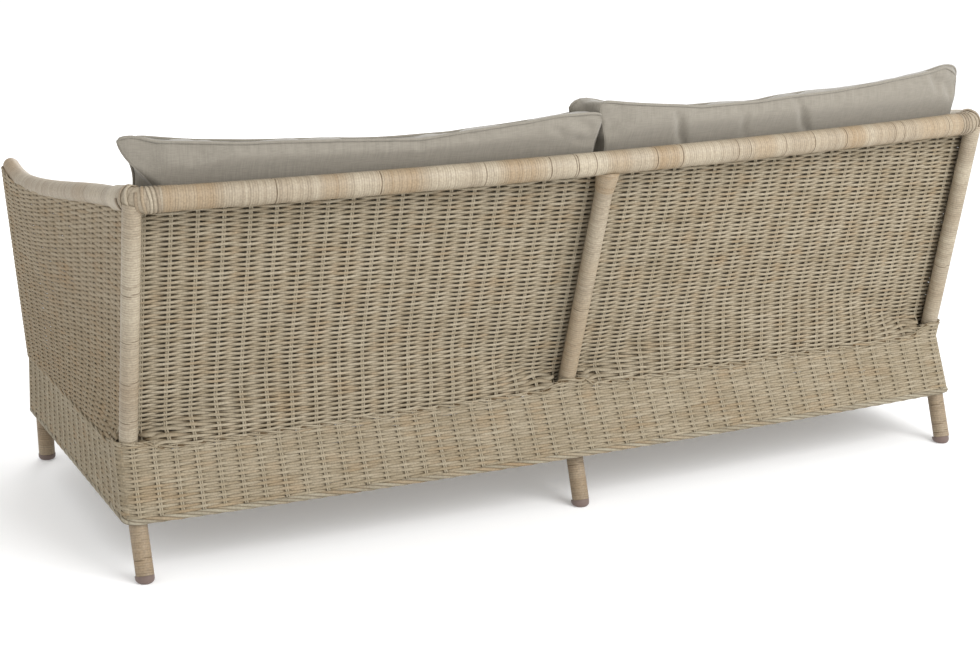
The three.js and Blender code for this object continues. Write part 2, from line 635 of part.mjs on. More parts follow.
function armMiddle(side, s, t) {
  const run = Math.min(s / ARM_RUN_SHARE, 1);
  const turn = Math.max(s - ARM_RUN_SHARE, 0) / (1 - ARM_RUN_SHARE);
  const plain = ARM_REAR_OFFSET + (ARM_FRONT_OFFSET - ARM_REAR_OFFSET) * smooth(run);
  const inside = Math.max(plain - WEAVE_THICKNESS / 2, 0);
  const under = Math.sqrt(RAIL_RADIUS ** 2 - inside ** 2) + 3 * GAP;
  const railY = RAIL_CORNER_Y - POLE_RADIUS + (HORN_Y - RAIL_CORNER_Y + POLE_RADIUS) * run;
  const z = rowHeight(t, ARM_ROWS, ARM_FLARE_ROWS, armRailZ(railY) - under);
  const offset = plain + Math.max(FLARE_OFFSET - plain, 0) * flare(z);
  const front = frontPole(z);
  const rearY = rearPoleY(CORNER_X, z) - POLE_REACH - GAP;
  const y = rearY + (front.y - rearY) * run;
  const up = (z - KNEE_Z) / (armRailZ(railY) - KNEE_Z);
  const knee = CORNER_X + (FRONT_KNEE_X - CORNER_X) * run;
  const head = CORNER_X + (armRailX(railY) - CORNER_X) * (FRONT_TOP_X - CORNER_X) / (HORN_X - CORNER_X);
  const axisX = knee + (head - knee) * up;
  const angle = ARM_WRAP_ANGLE * turn;
  const x = axisX + offset * Math.cos(angle);
  return new THREE.Vector3(x * sign(side), y - offset * Math.sin(angle), z);
}

for (const side of SIDES) {
  const middle = (s, t) => armMiddle(side, s, t);
  const panel = wovenPanel(middle, ARM_COLUMNS + ARM_TURN_COLUMNS, ARM_ROWS, ribbed);
  place(`arm_weave_${side}`, largestPiece(cut(panel, [...fatArmRails, ...fatRearPosts])), woven);
}

// The ring in plan that the apron, its border and the band at the waist follow
function ring(z, standoff, bow, radius) {
  const front = frontPole(z);
  const rearY = z < KNEE_Z ? rearLegY(z) : REAR_KNEE_Y + centrePostLean * (z - KNEE_Z);
  return {
    halfX: Math.max(CORNER_X, front.x) + standoff,
    rearY: rearY + standoff,
    frontY: front.y - standoff,
    bow,
    radius,
  };
}

// A point along one side of the ring, from the middle of one rounded corner to the middle of the next
function ringPoint(plan, side, share) {
  const x = plan.halfX - plan.radius;
  const rear = plan.rearY - plan.radius;
  const front = plan.frontY + plan.radius;
  const corners = {
    rear: [[x, rear], [-x, rear], [0, 1]],
    right: [[-x, rear], [-x, front], [-1, 0]],
    front: [[-x, front], [x, front], [0, -1]],
    left: [[x, front], [x, rear], [1, 0]],
  };
  const [from, to, normal] = corners[side].map(pair => new THREE.Vector2(...pair));
  const along = to.clone().sub(from);
  const straight = along.length();
  along.normalize();
  const arc = plan.radius * Math.PI / 4 - SEAM_GAP / 2;
  const length = straight + 2 * arc;
  const at = share * length;
  const point = new THREE.Vector2();
  if (at < arc) {
    const angle = (arc - at) / plan.radius;
    point.copy(from).addScaledVector(normal, plan.radius * Math.cos(angle));
    point.addScaledVector(along, -plan.radius * Math.sin(angle));
  } else if (at > arc + straight) {
    const angle = (at - arc - straight) / plan.radius;
    point.copy(to).addScaledVector(normal, plan.radius * Math.cos(angle));
    point.addScaledVector(along, plan.radius * Math.sin(angle));
  } else {
    point.copy(from).addScaledVector(normal, plan.radius).addScaledVector(along, at - arc);
  }
  if (point.y > 0) {
    point.y += plan.bow * (1 - (point.x / plan.halfX) ** 2);
  }
  return point;
}

// Shares along a side that are close together in its two corners and wide apart between them
function ringShares(plan, side, spans) {
  const run = side === 'rear' || side === 'front' ? 2 * plan.halfX : plan.rearY - plan.frontY;
  const corner = (plan.radius * Math.PI / 4) / (run - 2 * plan.radius + plan.radius * Math.PI / 2);
  const shares = [0, corner / 2];
  for (let i = 0; i <= spans; i += 1) {
    shares.push(corner + (1 - 2 * corner) * (i / spans));
  }
  return [...shares, 1 - corner / 2, 1];
}

const RING_SIDES = ['rear', 'right', 'front', 'left'];
const LONG_SPANS = 14;
const SHORT_SPANS = 7;
const spansOf = side => (side === 'rear' || side === 'front' ? LONG_SPANS : SHORT_SPANS);
const APRON_BOTTOM_Z = BORDER_Z + BAND_RADIUS + GAP;

function apronRing(z) {
  const down = (APRON_TOP_Z - z) / (APRON_TOP_Z - BORDER_Z);
  const standoff = APRON_STANDOFF + (BORDER_STANDOFF - APRON_STANDOFF) * down;
  return ring(z, standoff, APRON_REAR_BOW * down, APRON_CORNER_RADIUS);
}

// The value in an evenly numbered list at a share of its length
function listAt(list, share) {
  const at = share * (list.length - 1);
  const index = Math.min(Math.floor(at), list.length - 2);
  return list[index] + (list[index + 1] - list[index]) * (at - index);
}

for (const side of RING_SIDES) {
  const shares = ringShares(apronRing(APRON_TOP_Z), side, spansOf(side));
  const middle = (s, t) => {
    const z = APRON_BOTTOM_Z + (APRON_TOP_Z - APRON_BOTTOM_Z) * t;
    const point = ringPoint(apronRing(z), side, listAt(shares, s));
    return new THREE.Vector3(point.x, point.y, z);
  };
  place(`apron_${side}`, wovenPanel(middle, shares.length - 1, 2, even), woven);
}

// The braided border under the apron and the twisted band at the waist
class RingPath extends THREE.Curve {
  constructor(plan, side, z) {
    super();
    this.plan = plan;
    this.side = side;
    this.z = z;
    this.shares = ringShares(plan, side, spansOf(side));
  }

  getPoint(t) {
    const point = ringPoint(this.plan, this.side, listAt(this.shares, t));
    return new THREE.Vector3(point.x, point.y, this.z);
  }

  // Steps follow the list of shares, not equal lengths
  getUtoTmapping(u) {
    return u;
  }
}

const ROPE_FACETS = 8;
function rope(plan, side, z, radius) {
  const path = new RingPath(plan, side, z);
  return bentPole(path, radius, ROPE_FACETS, path.shares.length - 1);
}

const waistPlan = ring(BAND_Z, BORDER_STANDOFF, 0, APRON_CORNER_RADIUS);
for (const side of RING_SIDES) {
  place(`apron_border_${side}`, rope(apronRing(BORDER_Z), side, BORDER_Z, BAND_RADIUS), border);
  place(`waist_band_${side}`, rope(waistPlan, side, BAND_Z, BAND_RADIUS), border);
}

// Cushions: a crowned cover with a narrow border, drawn in between its corners
// size: half width, half height, edge, the crowns of its two faces, how far each side is drawn in
const CUSHION_COLUMNS = 16;
const CUSHION_ROWS = 12;
function cushion(size, toPlace) {
  const swell = (u, v) => (1 - Math.abs(u) ** 3) ** 0.7 * (1 - Math.abs(v) ** 3) ** 0.7;
  const face = (side) => {
    const rows = [];
    for (let i = 0; i <= CUSHION_ROWS; i += 1) {
      const row = [];
      const v = spread((2 * i) / CUSHION_ROWS - 1);
      for (let j = 0; j <= CUSHION_COLUMNS; j += 1) {
        const u = spread((2 * j) / CUSHION_COLUMNS - 1);
        const sidePull = size.sidePull * (1 - v * v) * u ** 3;
        const endPull = (v > 0 ? size.topPull : size.bottomPull) * (1 - u * u) * v ** 3;
        const crown = side > 0 ? size.frontCrown : size.rearCrown;
        const depth = side * size.edge / 2 + side * crown * swell(u, v);
        row.push(toPlace(size.halfWidth * u - sidePull, size.halfHeight * v - endPull, depth));
      }
      rows.push(row);
    }
    return rows;
  };
  return slab(face(1), face(-1));
}

// Grid lines that crowd towards the two edges, where the crown falls away
function spread(share) {
  return Math.sin(share * Math.PI / 2) * 0.5 + share * 0.5;
}

const SEAT_CUSHION_REAR_Y = rearPoleY(CORNER_X, SEAT_CUSHION_Z) - WEAVE_FRONT - SOFT_GAP;
const SEAT_CUSHION_END = FRONT_KNEE_X - POLE_RADIUS - SEAT_CUSHION_SIDE_GAP;
const seatHalfWidth = (SEAT_CUSHION_END - SEAT_CUSHION_SIDE_GAP / 2) / 2;
const seatHalfDepth = (SEAT_CUSHION_REAR_Y - SEAT_CUSHION_FRONT_Y) / 2;
for (const side of SIDES) {
  const size = {
    halfWidth: seatHalfWidth,
    halfHeight: seatHalfDepth,
    edge: SEAT_CUSHION_EDGE,
    frontCrown: SEAT_CUSHION_CROWN,
    rearCrown: 0,
    sidePull: SEAT_CUSHION_PULL,
    topPull: SEAT_CUSHION_PULL,
    bottomPull: SEAT_CUSHION_PULL,
  };
  const centreX = sign(side) * (SEAT_CUSHION_SIDE_GAP / 2 + seatHalfWidth);
  const centreY = (SEAT_CUSHION_REAR_Y + SEAT_CUSHION_FRONT_Y) / 2;
  const toPlace = (x, y, depth) => new THREE.Vector3(
    centreX + x,
    centreY + y,
    SEAT_CUSHION_Z + SEAT_CUSHION_EDGE / 2 + depth,
  );
  place(`seat_cushion_${side}`, cushion(size, toPlace), linen);
}

// The back cushions lean on the woven back and follow its bow
const BACK_CUSHION_END = CORNER_X - RAIL_RADIUS - BACK_CUSHION_RAIL_GAP;
const backCushionLean = (x, z) => rearPoleY(x, z) - WEAVE_FRONT - SOFT_GAP;
for (const side of SIDES) {
  const inner = BACK_CUSHION_JOIN_X + sign(side) * SEAT_CUSHION_SIDE_GAP / 2;
  const outer = sign(side) * BACK_CUSHION_END;
  const size = {
    halfWidth: Math.abs(outer - inner) / 2,
    halfHeight: BACK_CUSHION_HEIGHT / 2,
    edge: BACK_CUSHION_EDGE,
    frontCrown: BACK_CUSHION_CROWN,
    rearCrown: 0,
    sidePull: BACK_CUSHION_SIDE_PULL,
    topPull: BACK_CUSHION_TOP_PULL,
    bottomPull: 0,
  };
  const toPlace = (x, y, depth) => {
    const placeX = (outer + inner) / 2 + x;
    const placeZ = BACK_CUSHION_Z + BACK_CUSHION_HEIGHT / 2 + y;
    const lean = backCushionLean(placeX, placeZ);
    return new THREE.Vector3(placeX, lean - BACK_CUSHION_EDGE / 2 - depth, placeZ);
  };
  place(`back_cushion_${side}`, cushion(size, toPlace), linen);
}

// The origin lies on the floor under the middle of the whole
const whole = new THREE.Box3().setFromObject(group);
group.position.y = -(whole.min.y + whole.max.y) / 2;

export default group;
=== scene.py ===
# %% [markdown]
# # Rattan garden sofa
# The real sofa is a frame of bent poles, wound with peel and closed by woven cane, and it carries
# four linen cushions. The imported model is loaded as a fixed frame, in metres, with +Z up and the
# front facing -Y. Every visible piece is built round it. Each surface comes from a formula that
# is worked out for a whole grid at once, which keeps the script short and quick to run.

# %% Load the frame
import math

import bpy
import numpy as np
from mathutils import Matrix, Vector


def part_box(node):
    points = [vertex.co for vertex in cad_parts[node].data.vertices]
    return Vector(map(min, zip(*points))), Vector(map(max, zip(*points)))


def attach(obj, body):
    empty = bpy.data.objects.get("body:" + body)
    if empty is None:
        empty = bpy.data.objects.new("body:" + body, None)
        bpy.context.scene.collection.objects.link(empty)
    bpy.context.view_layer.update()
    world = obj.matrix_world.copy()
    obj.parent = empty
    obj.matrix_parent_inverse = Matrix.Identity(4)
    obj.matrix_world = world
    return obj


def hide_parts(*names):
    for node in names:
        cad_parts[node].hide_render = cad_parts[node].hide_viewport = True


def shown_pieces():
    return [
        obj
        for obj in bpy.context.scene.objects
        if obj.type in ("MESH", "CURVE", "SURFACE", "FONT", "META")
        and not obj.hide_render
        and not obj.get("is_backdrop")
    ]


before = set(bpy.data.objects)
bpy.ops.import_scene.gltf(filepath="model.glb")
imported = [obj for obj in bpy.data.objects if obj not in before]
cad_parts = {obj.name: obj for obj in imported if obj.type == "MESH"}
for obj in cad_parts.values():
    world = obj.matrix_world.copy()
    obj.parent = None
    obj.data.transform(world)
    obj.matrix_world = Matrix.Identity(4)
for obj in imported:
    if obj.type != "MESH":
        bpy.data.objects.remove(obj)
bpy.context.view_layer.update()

# %% [markdown]
# ## Sizes of the frame
# On the real sofa the poles come first: a rail is bent, posts and legs are pinned to it, and the
# weave follows them. So the places of the poles are named here, in metres, and every other
# surface is worked out from them. A knee is where a post becomes a leg and its slope changes.

# %% Sizes of the frame
POLE_RADIUS = 0.019
CORNER_X = 1.0
KNEE_Z = 0.25
REAR_KNEE_Y = 0.286
REAR_FOOT_Y = 0.374
FRONT_KNEE_X = 1.002
FRONT_KNEE_Y = -0.462
FRONT_FOOT_Y = -0.459
CENTRE_TOP_Y = 0.475
RAIL_RADIUS = 0.025
RAIL_Z = 0.796
RAIL_CORNER_Y = 0.41
RAIL_BOW = 0.06
RAIL_JOINT_X = 0.93
ELBOW_RADIUS = 0.034
ARM_LOWER = 0.0036
ARM_LOWER_REACH = 0.08
ARM_FLARE = 0.041
ARM_DROP = 0.093
ARM_LOW_SHARE = 0.85
HORN_Y = -0.447
HORN_RISE = 0.014
FRONT_TOP_INSET = 0.003
SIDES = {"left": 1.0, "right": -1.0}
random = np.random.default_rng(7)
print("rail corners", 2 * CORNER_X, "m apart and", RAIL_Z, "m high")


# %% [markdown]
# ## Paths
# Each pole and rail of the frame is a line in space. The rail runs level and bowed along the
# back, turns the corner and slopes down along the arm to its turned-up end. A curve drawn by
# hand would do as well, but formulas let the weave and the cushions ask where a pole runs.


# %% Paths of the frame
def smooth(share):
    """Smooth step: three times the share squared, less twice the share cubed."""
    return share * share * (3 - 2 * share)


def ramp(distance, reach):
    """A smooth step from 0 at nothing to 1 at the reach."""
    return smooth(np.clip(distance / reach, 0, 1))


def back_rail_y(x):
    """The back rail's depth: a parabola that bows out by RAIL_BOW in the middle."""
    return RAIL_CORNER_Y + RAIL_BOW * (1 - (x / CORNER_X) ** 2)


def rear_pole_y(x, z):
    """The plane of the rear posts: straight at the seat, bowed at the rail, straight lines between."""
    return REAR_KNEE_Y + (back_rail_y(x) - REAR_KNEE_Y) * (z - KNEE_Z) / (RAIL_Z - KNEE_Z)


def arm_share(y):
    """How far along the arm a depth is, from 0 at the back to 1 at the horn."""
    return np.clip((RAIL_CORNER_Y - y) / (RAIL_CORNER_Y - HORN_Y), 0, 1)


def arm_rail_x(y):
    """The arm rail flares out by a smooth step."""
    return CORNER_X + ARM_FLARE * smooth(arm_share(y))


def arm_rail_z(y):
    """The arm rail falls by half a line and half a smooth step, then rises by a square."""
    fall = np.minimum(arm_share(y) / ARM_LOW_SHARE, 1)
    lift = np.maximum(arm_share(y) - ARM_LOW_SHARE, 0) / (1 - ARM_LOW_SHARE)
    return RAIL_Z - ARM_DROP * (fall + smooth(fall)) / 2 + HORN_RISE * lift**2


HORN_X = float(arm_rail_x(HORN_Y))
HORN_Z = float(arm_rail_z(HORN_Y))
FRONT_TOP_X = HORN_X - FRONT_TOP_INSET


def front_pole(z):
    """The front pole's axis at a height, as x and y: the leg below the knee, the post above."""
    up = np.clip((z - KNEE_Z) / (HORN_Z - KNEE_Z), 0, None)
    down = np.clip((KNEE_Z - z) / KNEE_Z, 0, None)
    x = FRONT_KNEE_X + (FRONT_TOP_X - FRONT_KNEE_X) * up
    y = FRONT_KNEE_Y + (HORN_Y - FRONT_KNEE_Y) * up + (FRONT_FOOT_Y - FRONT_KNEE_Y) * down
    return x, y


print("horn at", round(HORN_X, 4), HORN_Y, round(HORN_Z, 4))

# %% [markdown]
# ## Half the rail as a line
# The back rail and an arm rail meet in an elbow, so one line is made from the middle of the back
# to the tip of a horn: a bowed stretch, an arc and the sloping arm. Both sides of the sofa share
# it, mirrored. A helper spaces the points of a line evenly, which keeps rings evenly apart.


# %% Half the rail
def evenly(points, step):
    """The same line with points at equal distances, and the distance of each along it."""
    lengths = np.linalg.norm(np.diff(points, axis=0), axis=1)
    at = np.concatenate([[0], np.cumsum(lengths)])
    even = np.linspace(0, at[-1], int(at[-1] / step) + 1)
    return np.stack([np.interp(even, at, points[:, i]) for i in range(3)], axis=1), even


def half_rail():
    """The rail from the middle of the back to the tip of one horn: bow, elbow arc, sloping arm."""
    stub_x = CORNER_X - ELBOW_RADIUS
    x = np.linspace(0, stub_x, 200)
    back = np.stack([x, back_rail_y(x), np.full_like(x, RAIL_Z)], axis=1)
    angle = np.linspace(0, np.pi / 2, 16)[1:]
    elbow = np.stack([
        stub_x + ELBOW_RADIUS * np.sin(angle),
        back_rail_y(stub_x) - ELBOW_RADIUS * (1 - np.cos(angle)),
        np.full_like(angle, RAIL_Z),
    ], axis=1)
    y = np.linspace(elbow[-1, 1], HORN_Y, 160)[1:]
    arm = np.stack([arm_rail_x(y), y, arm_rail_z(y)], axis=1)
    line = np.concatenate([back, elbow, arm])
    line[:, 2] -= ARM_LOWER * ramp(RAIL_CORNER_Y - ELBOW_RADIUS - line[:, 1], ARM_LOWER_REACH)
    tip = line[-1] - line[-2]
    end = line[-1] + tip / np.linalg.norm(tip) * RAIL_RADIUS
    return np.concatenate([line, end[None]])


half = half_rail()
print("half the rail is", round(float(evenly(half, 0.001)[1][-1]), 3), "m long")


# %% [markdown]
# ## From numbers to meshes
# Cane, peel and twine are all long and thin, so nearly every piece is a tube: a grid of rings
# along a line. Curve objects with a bevel would give tubes too, but thousands of them are slow.
# Here many tubes with the same number of rings are made in one go, and each vertex carries three
# numbers for the materials: *tone* is how light a strand is, *warm* how tan it is, and the third
# how open it lies, from 0 deep in the weave to 1 on top, which sets how much shade is painted there.


# %% Meshes and tubes
def add_mesh(name, points, faces, channels, body="frame"):
    """A smooth mesh object from points, arrays of faces and one number per point and channel."""
    mesh = bpy.data.meshes.new(name)
    corners = np.concatenate([face.ravel() for face in faces]).astype(np.int32)
    sizes = np.concatenate([np.full(len(face), face.shape[1]) for face in faces])
    starts = np.concatenate([[0], np.cumsum(sizes)[:-1]]).astype(np.int32)
    mesh.vertices.add(len(points))
    mesh.vertices.foreach_set("co", points.astype(np.float32).ravel())
    mesh.loops.add(len(corners))
    mesh.loops.foreach_set("vertex_index", corners)
    mesh.polygons.add(len(sizes))
    mesh.polygons.foreach_set("loop_start", starts)
    mesh.polygons.foreach_set("use_smooth", np.ones(len(sizes), bool))
    for channel, values in channels.items():
        layer = mesh.attributes.new(channel, "FLOAT", "POINT")
        layer.data.foreach_set("value", np.broadcast_to(values, len(points)).astype(np.float32))
    mesh.update(calc_edges=True)
    piece = bpy.data.objects.new(name, mesh)
    bpy.context.scene.collection.objects.link(piece)
    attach(piece, body)
    return piece


def normalised(vectors):
    """The same directions with length one."""
    return vectors / np.linalg.norm(vectors, axis=-1, keepdims=True)


def walls(low, high):
    """The four-sided faces between closed rings of points, given by their numbers."""
    return np.stack([low, np.roll(low, -1, -1), np.roll(high, -1, -1), high], -1).reshape(-1, 4)


def tubes(centres, outwards, radius, sides, wide=1.0):
    """Rings round many lines: each ring point is the centre, plus the radius times the cosine of
    its angle along the outward direction, and times the sine and the width's share across it.
    Gives points, faces and how far each point faces outwards."""
    tangent = normalised(np.gradient(centres, axis=1))
    across = normalised(np.cross(tangent, np.broadcast_to(outwards, centres.shape)))
    out = np.cross(across, tangent)
    angle = 2 * np.pi * np.arange(sides) / sides
    sideways = np.asarray(wide)[..., None] * np.sin(angle)
    ring = out[:, :, None] * np.cos(angle)[:, None] + across[:, :, None] * sideways[..., None]
    if np.ndim(radius) < 3:
        radius = np.broadcast_to(radius, centres.shape[:2])[:, :, None]
    points = centres[:, :, None] + radius[..., None] * ring
    index = np.arange(points[..., 0].size).reshape(points.shape[:3])
    faces = [walls(index[:, :-1], index[:, 1:]), index[:, 0, ::-1], index[:, -1]]
    return points, faces, np.broadcast_to(np.cos(angle), points.shape[:3])


ring_faces = walls(np.array([[0, 1, 2]]), np.array([[3, 4, 5]]))
print("two rings of three points are joined by the faces", ring_faces.tolist())

# %% [markdown]
# ## Handmade irregularity
# No strand has one tone from end to end and no row lies quite straight. Pure noise from point to
# point would look like grit, so random numbers are drawn at a few knots and joined by smooth
# steps, along a row or over a whole sheet. The bell gives everything that fades with distance.


# %% Random rows and patches
def wander(shape, cells, low, high):
    """Smooth random numbers along each row: random knots, one per cell, joined by smooth steps."""
    rows, columns = shape
    knots = random.uniform(low, high, (rows, cells + 2))
    at = np.linspace(0, cells, columns)[None] + random.uniform(0, 1, (rows, 1))
    cell = np.floor(at).astype(int)
    share = smooth(at - cell)
    row = np.arange(rows)[:, None]
    return knots[row, cell] * (1 - share) + knots[row, np.minimum(cell + 1, cells + 1)] * share


def patchwork(shape, cells, low, high):
    """Smooth random patches over a grid: random knots joined by smooth steps both ways."""
    knots = random.uniform(low, high, (cells[0] + 2, cells[1] + 2))
    rows = np.linspace(0, cells[0], shape[0])
    columns = np.linspace(0, cells[1], shape[1])
    row = rows.astype(int)
    column = columns.astype(int)
    up = smooth(rows - row)[:, None]
    along = smooth(columns - column)[None]
    below = knots[row][:, column] * (1 - along) + knots[row][:, column + 1] * along
    above = knots[row + 1][:, column] * (1 - along) + knots[row + 1][:, column + 1] * along
    return below * (1 - up) + above * up


def bell(distance, reach):
    """1 at nothing and falling to 0 past the reach, by the fourth power of the distance."""
    return np.exp(-((distance / reach) ** 4))


print("a bell is", round(float(bell(1.0, 1.0)), 3), "at its reach, and a smooth step", smooth(0.5), "halfway")


# %% [markdown]
# ## Materials
# A material is a small graph of nodes. A picture of cane could be laid on instead, but a graph
# has no edge and no repeat, and it reads the three channels of each vertex. The first helpers
# feed the shader at the end of the graph.


# %% Shader helpers
def new_material(name):
    """An empty node material, its nodes and its links."""
    material = bpy.data.materials.new(name)
    material.use_nodes = True
    return material, material.node_tree.nodes, material.node_tree.links


def feed(links, value, socket):
    """Links another node's output to a socket, or sets a plain value."""
    if isinstance(value, bpy.types.NodeSocket):
        links.new(value, socket)
    else:
        socket.default_value = value


def paint(nodes, links, looks):
    """Feeds the shader's inputs by their names."""
    for name, value in looks.items():
        feed(links, value, nodes["Principled BSDF"].inputs[name])


def bump_by(nodes, links, height, strength, distance):
    """Tilts the shader's normal by the slope of a height, which spans a distance in metres."""
    bump = nodes.new("ShaderNodeBump")
    bump.inputs["Strength"].default_value = strength
    bump.inputs["Distance"].default_value = distance
    links.new(height, bump.inputs["Height"])
    links.new(bump.outputs["Normal"], nodes["Principled BSDF"].inputs["Normal"])


print("shader helpers ready, materials so far", len(bpy.data.materials))

# %% [markdown]
# ## The nodes in between
# The materials are put together mostly from five kinds of node: a mix of colours, a calculation,
# a map from one range to another, a channel of the mesh and a noise in the piece's own space.


# %% Node helpers
def colour_mix(nodes, links, factor, first, second, mode="MIX"):
    """A mix of two colours."""
    mix = nodes.new("ShaderNodeMix")
    mix.data_type = "RGBA"
    mix.blend_type = mode
    for value, index in ((factor, 0), (first, 6), (second, 7)):
        feed(links, value, mix.inputs[index])
    return mix.outputs[2]


def calculate(nodes, links, operation, first, second=0.0):
    """A sum or another operation on two numbers."""
    node = nodes.new("ShaderNodeMath")
    node.operation = operation
    feed(links, first, node.inputs[0])
    feed(links, second, node.inputs[1])
    return node.outputs[0]


def number_map(nodes, links, value, low, high, to_low=0.0, to_high=1.0):
    """A clamped map of a number from one range to another."""
    node = nodes.new("ShaderNodeMapRange")
    for socket, number in zip(node.inputs, (value, low, high, to_low, to_high)):
        feed(links, number, socket)
    return node.outputs[0]


def channel_of(nodes, name):
    """A node that reads one of the mesh's channels."""
    node = nodes.new("ShaderNodeAttribute")
    node.attribute_name = name
    return node.outputs["Fac"]


def noise_of(nodes, links, scale, detail=3.0, stretch=(1, 1, 1)):
    """A noise in the piece's own coordinates, stretched by a factor along each axis."""
    place = nodes.new("ShaderNodeTexCoord")
    mapping = nodes.new("ShaderNodeMapping")
    mapping.inputs["Scale"].default_value = stretch
    noise = nodes.new("ShaderNodeTexNoise")
    noise.inputs["Scale"].default_value = scale
    noise.inputs["Detail"].default_value = detail
    links.new(place.outputs["Object"], mapping.inputs["Vector"])
    links.new(mapping.outputs["Vector"], noise.inputs["Vector"])
    return noise.outputs["Fac"]


def darker(colour, share):
    """A colour times a share."""
    return tuple(share * c for c in colour[:3]) + (1,)


print("white at half strength is", darker((1, 1, 1), 0.5))

# %% [markdown]
# ## Rattan
# Washed rattan is pale beige, tan where the peel is thick and grey on some strands; painted shade
# makes it dark brown down in the gaps. One maker serves poles, strands and ropes, so that they age
# alike: the channels mix four colours, one of them painted shade, a coarse noise mottles them and
# a fine one gives the fibre's bump.


# %% Rattan
def rattan(name, pale, grey, tan, deep, roughness, specular=0.3):
    """Rattan: pale to grey by tone, tan by warmth, darkened to the deep colour by painted shade where a point
    lies low, with a fine fibre bump.
    """
    material, nodes, links = new_material(name)
    base = colour_mix(nodes, links, channel_of(nodes, "tone"), grey, pale)
    base = colour_mix(nodes, links, channel_of(nodes, "warm"), base, tan)
    mottle = number_map(nodes, links, noise_of(nodes, links, 260.0), 0.3, 0.7, 0.82, 1.12)
    grain = nodes.new("ShaderNodeCombineColor")
    for socket in grain.inputs[:3]:
        links.new(mottle, socket)
    base = colour_mix(nodes, links, 1.0, base, grain.outputs["Color"], "MULTIPLY")
    # Painted shade: the deep colour wherever a point lies down in a gap or a groove.
    base = colour_mix(nodes, links, channel_of(nodes, "unshaded"), deep, base)
    paint(nodes, links, {"Base Color": base, "Roughness": roughness, "Specular IOR Level": specular})
    bump_by(nodes, links, noise_of(nodes, links, 900.0, 4.0), 0.25, 0.0004)
    return material


# Painted shade colours: one for the gaps of the weave and one for the grooves of the peel.
PAINTED_SHADE = (0.07, 0.037, 0.009, 1)
PEEL_PAINTED_SHADE = (0.09, 0.058, 0.03, 1)
TAN = (0.29, 0.208, 0.122, 1)
STRAND = rattan("rattan_strand", (0.35, 0.302, 0.222, 1), (0.24, 0.196, 0.13, 1), TAN, PAINTED_SHADE, 0.65, 0.12)
PEEL = rattan("rattan_peel", (0.4, 0.345, 0.258, 1), (0.225, 0.175, 0.12, 1), TAN, PEEL_PAINTED_SHADE, 0.5)
BRAID = rattan("rattan_braid", (0.34, 0.305, 0.232, 1), (0.24, 0.206, 0.15, 1), TAN, PAINTED_SHADE, 0.65, 0.12)
print("rattan", [material.name for material in bpy.data.materials if "rattan" in material.name])

# %% [markdown]
# ## Linen
# The covers are plain-woven linen. Its threads are too fine to see one by one, but thick places
# in them show as soft dashes across and up. Two noises, stretched along x and along y and z,
# give those dashes, and two finer ones give the bump of the crossing threads.


# %% Linen
def crossing(nodes, links, scale, detail, across, up):
    """Dashes both ways: the sum of a noise stretched across and one stretched up."""
    weft = noise_of(nodes, links, scale, detail, across)
    warp = noise_of(nodes, links, scale, detail, up)
    return calculate(nodes, links, "ADD", weft, warp)


def linen_material(name, colour, dark):
    """Linen: long slubs across and up, and the fine bump of crossing threads."""
    material, nodes, links = new_material(name)
    slubs = crossing(nodes, links, 60.0, 4.0, (0.5, 8.0, 12.0), (12.0, 0.5, 0.5))
    share = number_map(nodes, links, slubs, 0.75, 1.25)
    paint(nodes, links, {
        "Base Color": colour_mix(nodes, links, share, dark, colour),
        "Roughness": 0.92,
        "Specular IOR Level": 0.2,
        "Sheen Weight": 0.25,
    })
    fine = crossing(nodes, links, 300.0, 2.0, (0.4, 3.0, 4.0), (4.0, 0.4, 0.4))
    bump_by(nodes, links, fine, 0.35, 0.0005)
    return material


LINEN = linen_material("linen", (0.25, 0.229, 0.191, 1), (0.198, 0.18, 0.149, 1))
print("cover material", LINEN.name)

# %% [markdown]
# ## Plastic and the woven deck
# The feet are caps of moulded plastic with a faint mottle. The deck under the cushions is flat
# cane woven one over one. It is hidden on the made-up sofa, so its weave is drawn by the material
# alone: a square cell shows a strip along or across by turns, and a strip is round on top, with
# painted shade darkening it towards its edges.


# %% Plastic and the woven deck
def plastic(name, colour):
    """Moulded plastic with a faint mottle and a scuffed roughness."""
    material, nodes, links = new_material(name)
    mottle = noise_of(nodes, links, 90.0)
    paint(nodes, links, {
        "Base Color": colour_mix(nodes, links, mottle, darker(colour, 0.75), colour),
        "Roughness": number_map(nodes, links, mottle, 0.3, 0.7, 0.4, 0.6),
    })
    return material


